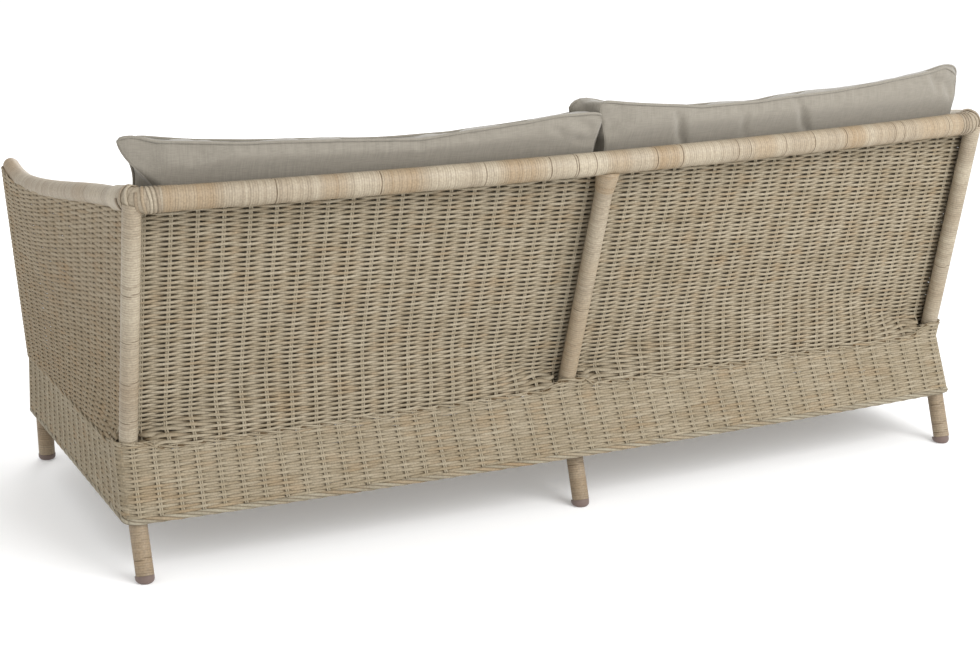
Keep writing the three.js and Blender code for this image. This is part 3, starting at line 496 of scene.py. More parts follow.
def woven_deck(name, pale, deep, cell):
    """Flat cane: the floors of x and y in cells add up to an odd or an even number, which says
    which strip is on top, and its height is one less 3.6 times the square of the distance from
    its middle, in cells. Painted shade darkens a strip where its height is low, at its edges."""
    material, nodes, links = new_material(name)
    place = nodes.new("ShaderNodeTexCoord")
    axes = nodes.new("ShaderNodeSeparateXYZ")
    links.new(place.outputs["Object"], axes.inputs[0])
    cells = []
    heights = []
    for axis in axes.outputs[:2]:
        scaled = calculate(nodes, links, "DIVIDE", axis, cell)
        cells.append(calculate(nodes, links, "FLOOR", scaled))
        share = calculate(nodes, links, "FLOORED_MODULO", scaled, 1.0)
        off_middle = calculate(nodes, links, "ABSOLUTE", calculate(nodes, links, "SUBTRACT", share, 0.5))
        fall = calculate(nodes, links, "MULTIPLY", 3.6, calculate(nodes, links, "POWER", off_middle, 2.0))
        heights.append(calculate(nodes, links, "SUBTRACT", 1.0, fall))
    turn = calculate(nodes, links, "FLOORED_MODULO", calculate(nodes, links, "ADD", *cells), 2.0)
    rest = calculate(nodes, links, "SUBTRACT", 1.0, turn)
    along = calculate(nodes, links, "MULTIPLY", turn, heights[0])
    height = calculate(nodes, links, "ADD", along, calculate(nodes, links, "MULTIPLY", rest, heights[1]))
    mottle = colour_mix(nodes, links, noise_of(nodes, links, 40.0), darker(pale, 0.7), pale)
    # Painted shade: a strip is darker where its height is low, towards its edges.
    paint(nodes, links, {"Base Color": colour_mix(nodes, links, height, deep, mottle), "Roughness": 0.6})
    bump_by(nodes, links, height, 1.0, 0.0015)
    return material


DECK = woven_deck("rattan_deck", (0.4, 0.33, 0.22, 1), PAINTED_SHADE, 0.0125)
FOOT = plastic("foot_plastic", (0.16, 0.112, 0.095, 1))
print("materials", [material.name for material in bpy.data.materials])


# %% [markdown]
# ## Wrapped poles
# Every pole is wound with a strip of peel. The winding is a helix, so a ring point lies in the
# groove between two turns when its distance along the pole, in strip widths, plus its share of a
# turn is a whole number. A bump in the material would look flat at the pole's edge, so the groove
# is in the shape. Most grooves are faint and a few are deep, as hands wind it, and each turn has
# its own tone.


# %% A wrapped pole
RING_STEP = 0.0012
GROOVE_REACH = 0.0011
FINE_STRIP = 0.0052
DEEP_SHARE = 0.03
FAINT_FORCE = (0.1, 0.5)
TIE_FORCE = 1.4
CROWN_SHARE = 0.12
TONE_DRIFT = 0.25
TONE_GRAIN = 0.1
WARM_DRIFT = 0.12
WARM_LENGTH = 0.05
WARM_OF_STRIP = (0.75, 1.1)
# Painted shade: how much a groove is darkened at its full depth.
GROOVE_PAINTED_SHADE = 0.9


def dress(piece, material, slot, *nodes):
    """Gives a piece its material and hides the nodes that it stands for; the slot is not used."""
    piece.data.materials.append(material)
    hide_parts(*nodes)


def wrapped_pole(name, line, radius, outward, sides=20, strip=FINE_STRIP, depth=0.0005,
                 shape=None, tan=(), ties=(), pale=0.62):
    """A pole wound with peel. The radius drops by the groove's depth times a bell of the distance
    to the nearest groove, and shape multiplies it along the length. Each of tan is a place along
    the pole, a reach and a strength, and ties are places with a deeper groove. Painted shade darkens
    each groove by its depth."""
    points, at = evenly(np.asarray(line, float), RING_STEP)
    turn = at[:, None] / strip + np.arange(sides)[None] / sides
    nearest = np.round(turn).astype(int)
    strips = nearest.max() + 2
    force = np.where(random.uniform(0, 1, strips) < DEEP_SHARE, 1.0, random.uniform(*FAINT_FORCE, strips))
    force[np.round(np.asarray(ties, float) / strip).astype(int)] = TIE_FORCE
    groove = bell((turn - nearest) * strip, GROOVE_REACH) * force[nearest]
    swell = np.ones_like(at) if shape is None else shape(at, at[-1])
    crown = CROWN_SHARE * depth * np.cos(2 * np.pi * turn)
    size = radius * swell[:, None] - depth * groove - crown
    grid, faces, _ = tubes(points[None], np.asarray(outward, float), size[None], sides)
    band = np.floor(turn).astype(int)
    drift = wander((1, strips), max(2, strips // 9), -TONE_DRIFT, TONE_DRIFT)[0]
    tone_of_strip = np.clip(pale + drift + TONE_GRAIN * random.standard_normal(strips), 0, 1)
    warmth = WARM_DRIFT * wander((1, len(at)), max(2, int(at[-1] / WARM_LENGTH)), -1, 1)[0]
    for place, reach, strength in tan:
        warmth = warmth + strength * bell(at - place, reach)
    warm_of_strip = random.uniform(*WARM_OF_STRIP, strips)
    channels = {
        "tone": tone_of_strip[band].ravel(),
        "warm": np.clip(warmth[:, None] * warm_of_strip[band], 0, 1).ravel(),
        "unshaded": np.clip(1 - GROOVE_PAINTED_SHADE * groove, 0, 1).ravel(),
    }
    return add_mesh(name, grid.reshape(-1, 3), faces, channels)


print("a turn of peel is", FINE_STRIP, "m wide and gets", round(FINE_STRIP / RING_STEP, 1), "rings")

# %% [markdown]
# ## The rail
# One bowed pole runs along the back and two more carry on from it along the arms. The tan
# stretches and the dark turns of the back rail were read from the photograph, as places along
# x. An arm rail is wound with a wider strip, thins towards its horn and ends in a dome.

# %% The rail
WIDE_STRIP = 0.011
RAIL_SIDES = 24
BACK_TAN = [
    (0.607, 0.026, 0.5), (0.466, 0.045, 0.7), (0.204, 0.05, 0.75), (-0.016, 0.026, 0.6),
    (-0.135, 0.036, 0.8), (-0.38, 0.03, 0.5), (-0.627, 0.034, 0.75), (-0.864, 0.046, 0.55),
    (0.88, 0.045, 0.75), (-0.75, 0.4, 0.14),
]
# The ties are turns with a deeper groove, which painted shade makes dark.
BACK_TIES = (0.727, 0.513, 0.148, 0.086, -0.105, -0.167, -0.509, -0.596)
ARM_TAN = [(0.36, 0.05, 0.3), (0.94, 0.1, 0.75)]
ARM_THINNING = {"start": 0.12, "reach": 0.08, "share": 0.15}
HORN_THINNING = {"reach": 0.16, "share": 0.13}
DOME_REACH = 0.02
DOME_LEAST = 0.0004


def horned(at, length):
    """The arm rail thins a little along the arm and more at its horn, which ends in a dome."""
    left = np.clip((length - at) / DOME_REACH, 0, 1)
    dome = np.sqrt(np.clip(1 - (1 - left) ** 2, DOME_LEAST, 1))
    arm = ARM_THINNING["share"] * ramp(at - ARM_THINNING["start"], ARM_THINNING["reach"])
    horn = HORN_THINNING["share"] * ramp(at - length + HORN_THINNING["reach"], HORN_THINNING["reach"])
    return (1 - arm - horn) * dome


joint = np.searchsorted(half[:, 0], RAIL_JOINT_X)
back_half = half[:joint]
back_line = np.concatenate([back_half[:0:-1] * np.array([-1, 1, 1]), back_half])
back_tan = [(x + RAIL_JOINT_X, reach, strength) for x, reach, strength in BACK_TAN]
back_ties = np.array(BACK_TIES) + RAIL_JOINT_X
back_rail = wrapped_pole("back_rail_wrap", back_line, RAIL_RADIUS, (0, 0, 1), RAIL_SIDES,
                         tan=back_tan, ties=back_ties, pale=0.8)
dress(back_rail, PEEL, "wrapped_pole", "back_rail")
for side, sign in SIDES.items():
    line = half[joint - 1:] * np.array([sign, 1, 1])
    rail = wrapped_pole(f"arm_rail_wrap_{side}", line, RAIL_RADIUS, (0, 0, 1), RAIL_SIDES,
                        WIDE_STRIP, 0.0004, horned, ARM_TAN)
    dress(rail, PEEL, "wrapped_pole", f"arm_rail_{side}")
print("points of half a rail", len(half), "and of them on the back", joint)

# %% [markdown]
# ## Posts and legs
# Straight poles hold the rail: a post from the knee up and a leg from the foot cap to the knee.
# The rear legs splay back. Each is the same wrapped pole with its own ends, and the legs are
# wound with darker peel, as the photograph shows them.

# %% Posts and legs
CAP_HEIGHT = 0.014
SEAT_RAIL_RADIUS = 0.015
LEG_SLOPE = (REAR_FOOT_Y - REAR_KNEE_Y) / KNEE_Z
POST_END = 0.004
LEG_LOOKS = {"tan": [(0.05, 0.06, 0.45), (0.16, 0.06, 0.35)], "pale": 0.2}
CENTRE_TAN = [(0.13, 0.13, 0.45), (0.3, 0.05, 0.15), (0.57, 0.05, 0.7)]
CENTRE_TOP = (0, CENTRE_TOP_Y - 0.006, RAIL_Z - 0.018)
COLLAR_REACH = 0.06
COLLAR_GROWTH = 0.32


def pole(name, node, bottom, top, outward, **looks):
    """One straight wrapped pole that stands for a node."""
    piece = wrapped_pole(name, np.linspace(bottom, top, 3), POLE_RADIUS, outward, **looks)
    dress(piece, PEEL, "wrapped_pole", node)


def collared(at, length):
    """The centre post widens towards the rail over its last stretch."""
    return 1 + COLLAR_GROWTH * ramp(at - length + COLLAR_REACH, COLLAR_REACH)


rear_foot_y = REAR_FOOT_Y - LEG_SLOPE * CAP_HEIGHT
for side, sign in SIDES.items():
    x = CORNER_X * sign
    knee = (x, REAR_KNEE_Y, KNEE_Z)
    top = (x, RAIL_CORNER_Y, RAIL_Z - POST_END)
    pole(f"rear_post_wrap_{side}", f"rear_post_{side}", knee, top, (0, 1, 0),
         depth=0.0003, tan=[(0.12, 0.05, 0.2)], pale=0.72)
    foot = (x, rear_foot_y, CAP_HEIGHT)
    pole(f"rear_leg_wrap_{side}", f"rear_leg_{side}", foot, knee, (0, 1, 0), **LEG_LOOKS)
    knee = (FRONT_KNEE_X * sign, FRONT_KNEE_Y, KNEE_Z)
    top = (FRONT_TOP_X * sign, HORN_Y, HORN_Z - POST_END)
    pole(f"front_post_wrap_{side}", f"front_post_{side}", knee, top, (0, -1, 0))
    foot = (x, FRONT_FOOT_Y, CAP_HEIGHT)
    pole(f"front_leg_wrap_{side}", f"front_leg_{side}", foot, knee, (0, -1, 0), **LEG_LOOKS)

knee = (0, REAR_KNEE_Y, KNEE_Z)
pole("centre_post_wrap", "rear_post_centre", knee, CENTRE_TOP, (0, 1, 0),
     depth=0.0003, shape=collared, tan=CENTRE_TAN, pale=0.68)
pole("rear_leg_wrap_centre", "rear_leg_centre", (0, rear_foot_y, CAP_HEIGHT), knee, (0, 1, 0), **LEG_LOOKS)
knee = (0, FRONT_KNEE_Y, KNEE_Z - SEAT_RAIL_RADIUS)
pole("front_leg_wrap_centre", "front_leg_centre", (0, FRONT_FOOT_Y, CAP_HEIGHT), knee, (0, 1, 0), **LEG_LOOKS)


# %% [markdown]
# ## The woven back
# A woven sheet is a surface of two shares, *along* and *up*. The back stands a little in front
# of its posts. At its foot it flares out over the rim of the apron, which rises round each post,
# and only right behind a post does it stay inside. Bells and ramps of the distance to the nearest
# post say how much, so one formula covers the plain stretches and the corners.


# %% The sheet of the back
WAIST_Z = 0.259
RING_STANDOFF = 0.0272
RING_DRAW = 0.005
BACK_STANDOFF = 0.0257
FLARE_HEIGHT = 0.19
FLARE_AT_POST = 0.022
CALM_REACH = 0.24
POST_GAP = 0.002
BESIDE_POST = 0.026
RIM_HEIGHT = 0.02
RIM_REACH = 0.05
CORNER_RIM = {"left": 0.017, "right": 0.028}
UNDER_RIM = 0.007
UNDER_REACH = 0.008
FOOT_OUT = RING_STANDOFF - RING_DRAW - 0.003
BACK_HALF = CORNER_X - 0.004
BACK_TOP = RAIL_Z - 0.012


def rim(x):
    """How far the apron's rim rises round a rear post, by the distance from it: a bell."""
    corner = np.maximum(CORNER_X - np.abs(x), 0)
    height = np.where(x > 0, CORNER_RIM["left"], CORNER_RIM["right"])
    return RIM_HEIGHT * bell(x, RIM_REACH) + height * bell(corner, RIM_REACH)


def flare_height(near_post):
    """The flare is low beside a post and grows to its full height away from it."""
    return FLARE_HEIGHT - (FLARE_HEIGHT - FLARE_AT_POST) * np.exp(-((near_post / CALM_REACH) ** 2))


def flared(z, foot, near_post):
    """1 at the apron's rim and 0 above the flare, and 0 right behind a post, where the sheet
    stays inside."""
    beside = ramp(near_post - POLE_RADIUS - POST_GAP, BESIDE_POST)
    return beside * (1 - ramp(z - foot, flare_height(near_post)))


def back_sheet(s, t):
    """The woven back: the plane of the posts, moved in front of them, and out at its foot."""
    x = BACK_HALF * (1 - 2 * s)
    near = np.minimum(np.abs(x), CORNER_X - np.abs(x))
    foot = WAIST_Z + rim(x)
    z = WAIST_Z + (BACK_TOP - WAIST_Z) * t
    shift = -BACK_STANDOFF + (BACK_STANDOFF + FOOT_OUT) * flared(z, foot, near)
    shift = shift - UNDER_RIM * ramp(foot - z, UNDER_REACH)
    return np.stack(np.broadcast_arrays(x, rear_pole_y(x, z) + shift, z), axis=-1)


corner_share = np.array(0.0)
print("foot of the back at its corner", np.round(back_sheet(corner_share, corner_share), 3))

# %% [markdown]
# ## The woven arms
# An arm starts inside the rear post, runs under its rail and turns round the front post. Its foot
# flares over the apron as the back's does. The plane between two poles that aren't parallel is
# twisted, so each height goes in a straight line from the rear post to the front post.


# %% The sheets of the arms
ARM_REAR_OFFSET = 0.006
ARM_FRONT_OFFSET = 0.0252
ARM_TURN = math.radians(118)
ARM_TURN_SHARE = 0.06
ARM_RUN = 0.8
ARM_FOOT_OUT = RING_STANDOFF - RING_DRAW - 0.001
ARM_REAR_SHARE = 0.6
UNDER_RAIL = 0.004
MOST_OFFSET = 0.0235


def arm_sheet(side):
    """The woven arm of one side: from the rear post under the rail and round the front post."""
    sign = SIDES[side]

    def sheet(s, t):
        run = np.minimum(s / (1 - ARM_TURN_SHARE), 1)
        turn = np.maximum(s - (1 - ARM_TURN_SHARE), 0) / ARM_TURN_SHARE
        rail_y = RAIL_CORNER_Y - POLE_RADIUS + (HORN_Y - RAIL_CORNER_Y + POLE_RADIUS) * run
        plain = ARM_REAR_OFFSET + (ARM_FRONT_OFFSET - ARM_REAR_OFFSET) * smooth(run)
        near = run * ARM_RUN
        foot = WAIST_Z + CORNER_RIM[side] * bell(near, RIM_REACH)
        top = arm_rail_z(rail_y) - np.sqrt(RAIL_RADIUS**2 - np.minimum(plain, MOST_OFFSET) ** 2) + UNDER_RAIL
        z = WAIST_Z + (top - WAIST_Z) * t
        out = 1 - ramp(z - foot, flare_height(near))
        offset = plain + np.maximum(ARM_FOOT_OUT - plain, 0) * out
        offset = offset - UNDER_RIM * ramp(foot - z, UNDER_REACH)
        front_x, front_y = front_pole(z)
        rear_y = rear_pole_y(CORNER_X, z) - POLE_RADIUS * ARM_REAR_SHARE
        y = rear_y + (front_y - rear_y) * run
        up = (z - KNEE_Z) / (arm_rail_z(rail_y) - KNEE_Z)
        knee = CORNER_X + (FRONT_KNEE_X - CORNER_X) * run
        head = CORNER_X + (arm_rail_x(rail_y) - CORNER_X) * (FRONT_TOP_X - CORNER_X) / ARM_FLARE
        x = knee + (head - knee) * up
        angle = ARM_TURN * turn
        across = x + offset * np.cos(angle)
        depth = y - offset * np.sin(angle)
        return np.stack(np.broadcast_arrays(sign * across, depth, z), axis=-1)
    return sheet


print("foot of the left arm at its rear", np.round(arm_sheet("left")(corner_share, corner_share), 3))

# %% [markdown]
# ## The apron
# A woven ring closes the seat frame all round. In plan it is a rectangle with round corners and
# a bowed rear side, and it leans with the legs below the knee. One function gives a point of any
# side from its share of that side, so that weave, border and waist line all follow it.


# %% The ring in plan
BORDER_Z = 0.126
RING_CORNER = 0.026
RING_BOW = 0.025
MOST_DRAW = 1.4
RING_SIDES = {"rear": (1, 1), "right": (-1, 1), "front": (-1, -1), "left": (1, -1)}


def ring_plan(z, inset=0.0):
    """The ring's half width, rear, front and rear bow at a height: it leans with the legs below
    the knee, and above it follows the posts and draws in to them."""
    up = np.clip((z - KNEE_Z) / (RAIL_Z - KNEE_Z), 0, None)
    down = np.clip(KNEE_Z - z, 0, None)
    draw = np.clip((z - BORDER_Z) / (WAIST_Z - BORDER_Z), 0, MOST_DRAW)
    standoff = RING_STANDOFF - RING_DRAW * draw - inset
    rear = REAR_KNEE_Y + down * LEG_SLOPE + (RAIL_CORNER_Y - REAR_KNEE_Y) * up
    bow = RING_BOW * down / (KNEE_Z - BORDER_Z) + (CENTRE_TOP_Y - RAIL_CORNER_Y) * up
    front_x, front_y = front_pole(z)
    half_x = np.maximum(CORNER_X, front_x) + standoff
    return half_x, rear + standoff, front_y - standoff, bow


def ring_length(side):
    """The length of one side of the ring at its top, from the middle of a corner to the next."""
    half_x, rear, front, _ = ring_plan(np.array(KNEE_Z))
    straight = 2 * half_x if side in ("rear", "front") else rear - front
    return float(straight - 2 * RING_CORNER + RING_CORNER * np.pi / 2)


def ring_point(side, share, z, inset=0.0):
    """A point of the ring: quarter-circle corners joined by straight sides, the rear one bowed."""
    half_x, rear, front, bow = ring_plan(z, inset)
    sign_x, sign_y = RING_SIDES[side]
    arc = RING_CORNER * np.pi / 4
    wide = side in ("rear", "front")
    half_run = half_x - RING_CORNER if wide else (rear - front) / 2 - RING_CORNER
    at = share * (2 * half_run + 2 * arc) - arc
    run = np.clip(at, 0, 2 * half_run) - half_run
    angle = (at - np.clip(at, 0, 2 * half_run)) / RING_CORNER
    out = RING_CORNER * np.cos(angle)
    along = run + RING_CORNER * np.sin(angle)
    middle = (rear + front) / 2
    if wide:
        x = -sign_y * along
        y = np.where(sign_y > 0, rear - RING_CORNER + out, front + RING_CORNER - out)
    else:
        x = sign_x * (half_x - RING_CORNER + out)
        y = middle + sign_x * along
    y = y + np.where(y > 0, bow * (1 - (x / half_x) ** 2), 0)
    return x, y


print("apron sides", {side: round(ring_length(side), 3) for side in RING_SIDES})

# %% [markdown]
# ## The apron's rim
# The top of the apron is level at the front, rises beside the rear corner posts, and rises again
# at the centre post. Rows can't rise with it, because they are woven level, so all rows run to
# the highest rim and those above it shrink away and are tucked in.


# %% The sheets of the apron
APRON_BOTTOM = BORDER_Z + 0.006
APRON_TOP = WAIST_Z + 0.029
TUCK_HEIGHT = 0.005
TUCK_DEPTH = 0.007


def rim_of(side, share):
    """The top of the apron: level, with a bell at the rear corners and at the centre post."""
    x, y = ring_point(side, share, np.full_like(share, WAIST_Z))
    if side == "rear":
        return WAIST_Z + rim(x)
    if side == "front":
        return np.full_like(share, WAIST_Z)
    return WAIST_Z + CORNER_RIM[side] * bell(np.maximum(REAR_KNEE_Y - y, 0), RIM_REACH)


def above_rim(side, s, t):
    """0 up to the apron's rim, and 1 where a row lies above it, tucked in."""
    z = APRON_BOTTOM + (APRON_TOP - APRON_BOTTOM) * t
    return ramp(z - rim_of(side, s + 0 * t), TUCK_HEIGHT)


def apron_sheet(side):
    """One side of the apron: level rows from the border up to the highest rim."""
    def sheet(s, t):
        z = APRON_BOTTOM + (APRON_TOP - APRON_BOTTOM) * t + 0 * s
        x, y = ring_point(side, s + 0 * t, z, TUCK_DEPTH * above_rim(side, s, t))
        return np.stack(np.broadcast_arrays(x, y, z), axis=-1)
    return sheet


for side in RING_SIDES:
    print("rim of the", side, "side rises to", round(float(rim_of(side, np.linspace(0, 1, 99)).max()), 4))


# %% [markdown]
# ## Strands
# A strand of cane goes in front of one pair of stakes and behind the next, and its neighbour does
# the opposite. A woven texture on a flat panel would show no light through its gaps, so each
# strand is a tube that swings by a cosine with its peaks at the stakes. Near the end of a sheet
# rows draw together in pairs, as they go round the post. A channel takes how far a ring point
# stands out on the side that it faces, and shade is painted by it, so strands are pale on top and
# painted dark in the gaps.


# %% Strands
STRAND_DEPTH = 0.0022
STRAND_FILL = 0.62
STRAND_SIDES = 6
STEPS_PER_STAKE = 6
WAVE_POWER = 1.15
PINCH_REACH = 0.018
PINCH_CALM = 0.6
PINCH_THIN = 0.25
ROW_WANDER = 0.13
THICKNESS = (0.95, 1.05)
THIN_SHARE = 0.97


def outward_of(sheet, s, t):
    """The sheet's outward direction: the cross product of its two directions."""
    small = 1e-3
    along = sheet(s + small, t) - sheet(s - small, t)
    up = sheet(s, np.minimum(t + small, 1)) - sheet(s, np.maximum(t - small, 0))
    return normalised(np.cross(along, up))


def strands(name, sheet, length, stakes, rows, swing, span=(0, 1), pinch=(0, 0), fall=(1.2, 1.2),
            outside=1, power=WAVE_POWER, fill=STRAND_FILL, shade=(0, 0), warmth=0.0, thin=None):
    """The rows of a sheet. A row's centre is the sheet's point plus the swing times a cosine of
    half a turn per stake, sharpened by a power, with the sign of its row. Where a row's stretch
    is pinched, rows meet in pairs that fall by a number of rows to the post. A strand is as deep as
    its radius and as high as fills its row; shade darkens the lowest and the highest row, warmth
    makes all more tan, and thin says where strands shrink away."""
    spacing = length / stakes
    count = int(round((span[1] - span[0]) * stakes * STEPS_PER_STAKE)) + 1
    s = np.linspace(span[0], span[1], count)[None]
    row = np.arange(rows)[:, None]
    parity = 1 - 2 * (row % 2)
    distance = s * length
    start = pinch[0] * np.exp(-((distance / PINCH_REACH) ** 2))
    end = pinch[1] * np.exp(-(((length - distance) / PINCH_REACH) ** 2))
    draw = start + end
    t = (row + 0.5 + 0.5 * parity * draw - fall[0] * start - fall[1] * end) / rows
    t = t + wander(t.shape, stakes, -ROW_WANDER, ROW_WANDER) / rows
    t = np.clip(t, 0, 1)
    middle = sheet(s + 0 * t, t)
    outward = outward_of(sheet, s + 0 * t, t) * outside
    cosine = np.cos(np.pi * (distance - spacing / 2) / spacing)
    offset = swing * parity * np.sign(cosine) * np.abs(cosine) ** power * (1 - PINCH_CALM * draw)
    centres = middle + outward * offset[..., None]
    pitch = np.linalg.norm(np.gradient(sheet(s + 0 * t, (row + 0.5 + 0 * s) / rows), axis=0), axis=-1)
    wide = fill * pitch / STRAND_DEPTH * (1 - PINCH_THIN * draw)
    size = STRAND_DEPTH * wander(t.shape, stakes * 2, *THICKNESS)
    if thin is not None:
        size = size * (1 - THIN_SHARE * thin(s, t))
    points, faces, facing = tubes(centres, outward, size, STRAND_SIDES, wide)
    # Painted shade: the deeper a ring point lies in the weave, the darker it is painted.
    open_height = facing * (offset[..., None] + STRAND_DEPTH * facing)
    unshaded = np.clip((open_height + 0.7 * swing) / (1.1 * swing), 0, 1)
    area = patchwork(t.shape, (max(2, rows // 9), max(2, stakes // 2)), 0, 1)
    tone = 0.5 * wander(t.shape, stakes, 0.0, 1.2) + 0.25 * area
    tone = np.clip(tone + random.uniform(0.0, 0.35, (rows, 1)), 0, 1) - np.interp(row / rows, (0, 1), shade)
    warm_area = patchwork(t.shape, (max(2, rows // 6), stakes), -0.6, 0.7)
    warm = warmth + 0.6 * np.clip(warm_area + wander(t.shape, stakes // 2, -0.8, 0.4), 0, 0.8)
    channels = {
        "tone": np.repeat(tone, STRAND_SIDES),
        "warm": np.repeat(warm, STRAND_SIDES),
        "unshaded": unshaded.ravel(),
    }
    return add_mesh(name, points.reshape(-1, 3), faces, channels)


print("a strand is", 2 * STRAND_DEPTH, "m deep")

# %% [markdown]
# ## Stakes
# The stakes are pairs of thin upright rods that the strands wrap. They show only as short dark
# bars in the gaps, so five sides are enough. Moved a little forward of the middle of the weave,
# they close the gaps to the eye as the real ones do.


# %% Stakes
STAKE_RADIUS = 0.002
STAKE_PAIR = 0.0022
STAKE_SIDES = 5


def stakes_of(name, sheet, length, stakes, heights, forward, outside=1, thin=None):
    """The stakes of a sheet: pairs of thin rods, a little forward of the middle of the weave."""
    spacing = length / stakes
    middle = (np.arange(stakes) + 0.5) * spacing
    at = np.concatenate([middle - STAKE_PAIR, middle + STAKE_PAIR])[:, None] / length
    t = np.linspace(0, 1, heights)[None]
    centres = sheet(at + 0 * t, t + 0 * at)
    outward = outward_of(sheet, at + 0 * t, t + 0 * at) * outside
    centres = centres + forward * outward
    size = np.full(centres.shape[:2], STAKE_RADIUS)
    if thin is not None:
        size = size * (1 - THIN_SHARE * thin(at, t))
    points, faces, _ = tubes(centres, outward, size, STAKE_SIDES)
    tone = np.repeat(random.uniform(0.5, 1, at.shape), heights * STAKE_SIDES)
    channels = {"tone": tone, "warm": 0.0, "unshaded": 1.0}
    return add_mesh(name, points.reshape(-1, 3), faces, channels)


print("a pair of stakes is", round(2 * (STAKE_PAIR + STAKE_RADIUS), 4), "m wide")

# %% [markdown]
# ## Weave the back
# The same two functions weave every sheet. The rows of the back were counted on the photograph.
# It is woven in two halves, left and right, because one mesh of all its strands would be heavier
# than a piece should be. At the posts the rows are drawn together.

# %% Weave the back
BACK_ROWS = 100
BACK_STAKES = 38
BACK_SWING = 0.0034
BACK_FORWARD = 0.0022
STAKE_STEPS = 36
back_length = 2 * BACK_HALF
for side, span in {"left": (0, 0.5), "right": (0.5, 1)}.items():
    piece = strands(f"back_strands_{side}", back_sheet, back_length, BACK_STAKES, BACK_ROWS,
                    BACK_SWING, span, (1, 0.7), (1.2, 0))
    dress(piece, STRAND, "woven", "back_weave")
piece = stakes_of("back_stakes", back_sheet, back_length, BACK_STAKES, STAKE_STEPS, BACK_FORWARD)
dress(piece, STRAND, "woven", "back_weave")
print("back", BACK_ROWS, "rows over", BACK_STAKES, "pairs of stakes")

# %% [markdown]
# ## Weave the arms
# The arms are woven closer than the back, with thinner gaps, and lie in the shade of their rail.
# So their strands fill more of a row, swing less, and are shaded from the foot to the rail.

# %% Weave the arms
ARM_ROWS = 92
ARM_STAKES = 18
ARM_SWING = 0.0022
ARM_FILL = 0.72
ARM_SHADE = (0.75, -0.25)
ARM_WARMTH = 0.3
ARM_FORWARD = 0.0012
ARM_WRAP = 0.09
arm_length = REAR_KNEE_Y - FRONT_KNEE_Y + ARM_WRAP
for side, sign in SIDES.items():
    sheet = arm_sheet(side)
    piece = strands(f"arm_strands_{side}", sheet, arm_length, ARM_STAKES, ARM_ROWS, ARM_SWING,
                    pinch=(1, 0), outside=-sign, fill=ARM_FILL, shade=ARM_SHADE, warmth=ARM_WARMTH)
    dress(piece, STRAND, "woven", f"arm_weave_{side}")
    piece = stakes_of(f"arm_stakes_{side}", sheet, arm_length, ARM_STAKES, STAKE_STEPS, ARM_FORWARD, -sign)
    dress(piece, STRAND, "woven", f"arm_weave_{side}")
print("arms", ARM_ROWS, "rows over", ARM_STAKES, "pairs of stakes")

# %% [markdown]
# ## Weave the apron
# The apron is woven over stakes that stand wider apart, with tight turns between long floats. A
# higher power of the cosine gives such turns. The two short sides look closer in the photograph,
# so their strands fill more of a row, swing less and let no light through.

# %% Weave the apron
APRON_ROWS = 32
APRON_SPACING = 0.044
APRON_STEPS = 28
APRON_POWER = 3.0
APRON_FORWARD = 0.002
APRON_LAP = 0.003
APRON_SWING = {"rear": 0.0026, "front": 0.0026, "left": 0.0018, "right": 0.0018}
APRON_FILL = {"rear": 0.67, "front": 0.67, "left": 0.76, "right": 0.72}
APRON_SHADE = {"rear": (0.12, 0.12), "front": (0.12, 0.12), "left": (0.4, 0.3), "right": (0.12, 0.12)}
for side in RING_SIDES:
    length = ring_length(side)
    count = 2 * round(length / APRON_SPACING / 2)
    sheet = apron_sheet(side)
    lap = APRON_LAP / length

    def thin(s, t):
        """Strands and stakes shrink away above the rim."""
        return above_rim(side, s, t)

    piece = strands(f"apron_strands_{side}", sheet, length, count, APRON_ROWS, APRON_SWING[side],
                    (-lap, 1 + lap), power=APRON_POWER, fill=APRON_FILL[side], shade=APRON_SHADE[side],
                    thin=thin)
    dress(piece, STRAND, "woven", f"apron_{side}")
    piece = stakes_of(f"apron_stakes_{side}", sheet, length, count, APRON_STEPS, APRON_FORWARD, thin=thin)
    dress(piece, STRAND, "woven", f"apron_{side}")


# %% [markdown]
# ## Border and waist line
# The apron ends below in a border of four plies laid round each other, and two plies of twine
# cover its upper edge. A braid could be modelled knot by knot, but from a step away plies that
# turn round a common line look the same, and each is one helix.


# %% Border and waist line
BORDER_INSET = 0.003
BORDER_ROPE = {"ply": 4, "ply_radius": 0.0038, "lay_radius": 0.0036, "pitch": 0.15}
WAIST_ROPE = {"ply": 2, "ply_radius": 0.0023, "lay_radius": 0.0024, "pitch": 2 * APRON_SPACING}
# How free of painted shade the sides of the twine's plies are on each side of the ring.
WAIST_OPENNESS = {"rear": 0.5, "right": 1.4, "front": 1.4, "left": 1.4}
ROPE_SIDES = 7
TONE_LENGTH = 0.08
TAN_LENGTH = 0.15


def frame_of(line, up):
    """Two directions square to a line, and its distances."""
    tangent = normalised(np.gradient(line, axis=0))
    across = normalised(np.cross(tangent, np.asarray(up, float)))
    out = np.cross(across, tangent)
    at = np.concatenate([[0], np.cumsum(np.linalg.norm(np.diff(line, axis=0), axis=1))])
    return out, across, at


